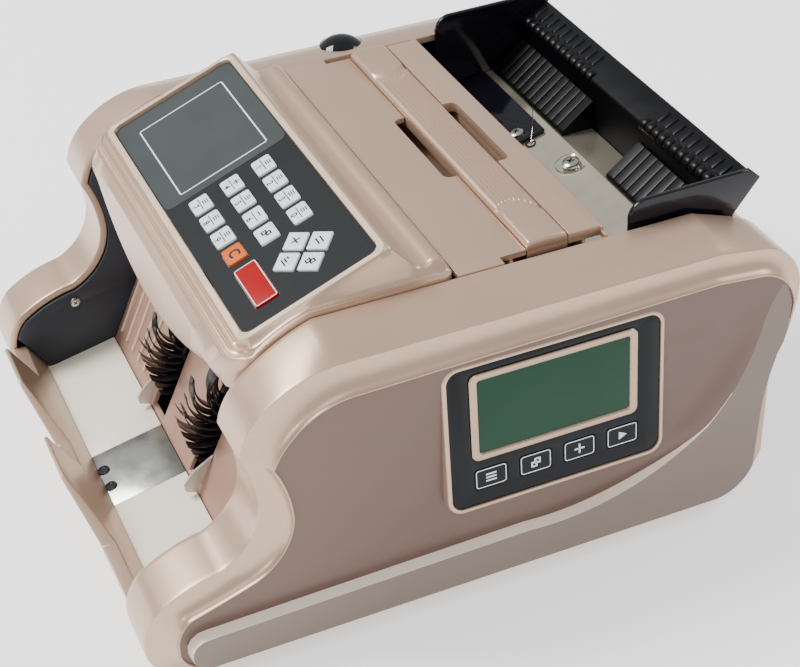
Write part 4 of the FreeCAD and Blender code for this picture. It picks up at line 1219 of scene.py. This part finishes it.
PLAIN_PIECES = (
    ("rear_cover", 0.7, "rose", "rose_plastic", "body", 3),
    ("base_tray", 0.4, "base", "base_plastic", "body", 2),
    ("rubber_feet", 0.6, "rubber", "rubber_black", "body", 3),
    ("feed_bracket", 0.25, "black_acrylic", "black_plastic", "body", 2),
    ("main_motor", 0.8, "plated", "motor_steel", "body", 3),
    ("motor_pulley", 0.3, "plated", "motor_steel", "motor_pulley", 2),
    ("power_transformer", 0.5, "plated", "motor_steel", "body", 2),
    ("gap_plate", 0.4, "plated", "motor_steel", "gap_plate", 2),
    ("main_circuit_board", 0.2, "board", "board_green", "body", 2),
    ("feed_roller", 0.4, "shaft_steel", "bare_steel", "feed_roller", 2),
    ("kicker_roller", 0.4, "shaft_steel", "bare_steel", "kicker_roller", 2),
    ("drive_belts", 0.2, "rubber", "rubber_black", "body", 2),
    ("mains_inlet", 0.35, "black_satin", "black_plastic", "body", 2),
    ("power_switch", 0.35, "black_gloss", "black_plastic", "power_switch", 2),
)


def plain_pieces():
    for node, width, look, slot, body, segments in PLAIN_PIECES:
        softened(node, width, look, body, segments=segments)


# Stage, light and camera

CAMERA_SPOT = (0.62376, -0.23498, 0.52917)
CAMERA_TURN = (67.766, 35.925, -2.416)


def stage():
    side = 6.0
    sheet = bmesh.new()
    corners = [sheet.verts.new(c)
               for c in ((-side, -side, 0), (side, -side, 0), (side, side, 0), (-side, side, 0))]
    sheet.faces.new(corners)
    mesh = bpy.data.meshes.new("floor")
    sheet.to_mesh(mesh)
    sheet.free()
    floor = bpy.data.objects.new("studio_floor", mesh)
    bpy.context.scene.collection.objects.link(floor)
    paper = surface((250, 250, 251), 0.85, drift=0.01, patch=300, grain=2, bump=0.02, shine=0.2)
    sockets = paper.node_tree.nodes["Principled BSDF"].inputs
    sockets["Emission Color"].default_value = (1, 1, 1, 1)
    sockets["Emission Strength"].default_value = 0.6
    mesh.materials.append(paper)


def area_light(name, spot, target, size, power, colour=(1, 1, 1)):
    light = bpy.data.lights.new(name, "AREA")
    light.shape = "RECTANGLE"
    light.size = size[0]
    light.size_y = size[1]
    light.energy = power
    light.color = colour
    lamp = bpy.data.objects.new(name, light)
    lamp.location = spot
    lamp.rotation_euler = (Vector(target) - Vector(spot)).to_track_quat("-Z", "Y").to_euler()
    bpy.context.scene.collection.objects.link(lamp)
    return lamp


def lights():
    world = bpy.data.worlds.new("studio")
    bpy.context.scene.world = world
    world.use_nodes = True
    back = world.node_tree.nodes["Background"]
    back.inputs["Color"].default_value = (0.9, 0.92, 0.95, 1)
    back.inputs["Strength"].default_value = 0.72
    area_light("key", (-0.75, -1.0, 1.6), (0, 0, 0.08), (0.8, 0.8), 52)
    area_light("fill", (1.0, -0.4, 1.8), (0, 0, 0.08), (1.2, 1.0), 8)
    area_light("glint", (1.2, -1.35, 0.85), (0.1, -0.05, 0.08), (0.35, 0.35), 5)
    area_light("rim", (0.3, 1.6, 1.4), (0, 0, 0.08), (1.2, 0.6), 14)


def camera():
    azimuth, elevation, roll = (math.radians(a) for a in CAMERA_TURN)
    back = Vector((math.sin(azimuth) * math.cos(elevation), -math.cos(azimuth) * math.cos(elevation),
                   math.sin(elevation)))
    turn = back.to_track_quat("Z", "Y").to_matrix() @ Matrix.Rotation(roll, 3, "Z")
    lens = bpy.data.cameras.new("main")
    lens.lens = 81.0
    lens.sensor_width = 36.0
    lens.clip_start = 0.02
    lens.clip_end = 20.0
    eye = bpy.data.objects.new("main_camera", lens)
    eye.matrix_world = Matrix.Translation(Vector(CAMERA_SPOT)) @ turn.to_4x4()
    bpy.context.scene.collection.objects.link(eye)
    bpy.context.scene.camera = eye


side_covers()
side_display()
console_housing()
console_face()
console_keys()
softened("top_cover", 0.45, "rose", "body", segments=3, bend=40.0)
carry_handle()
gap_knob()
hopper()
feed_spring()
feed_guides()
rear_guard()
ramps()
stacker_wheels()
stacker()
plain_pieces()
stage()
lights()
camera()
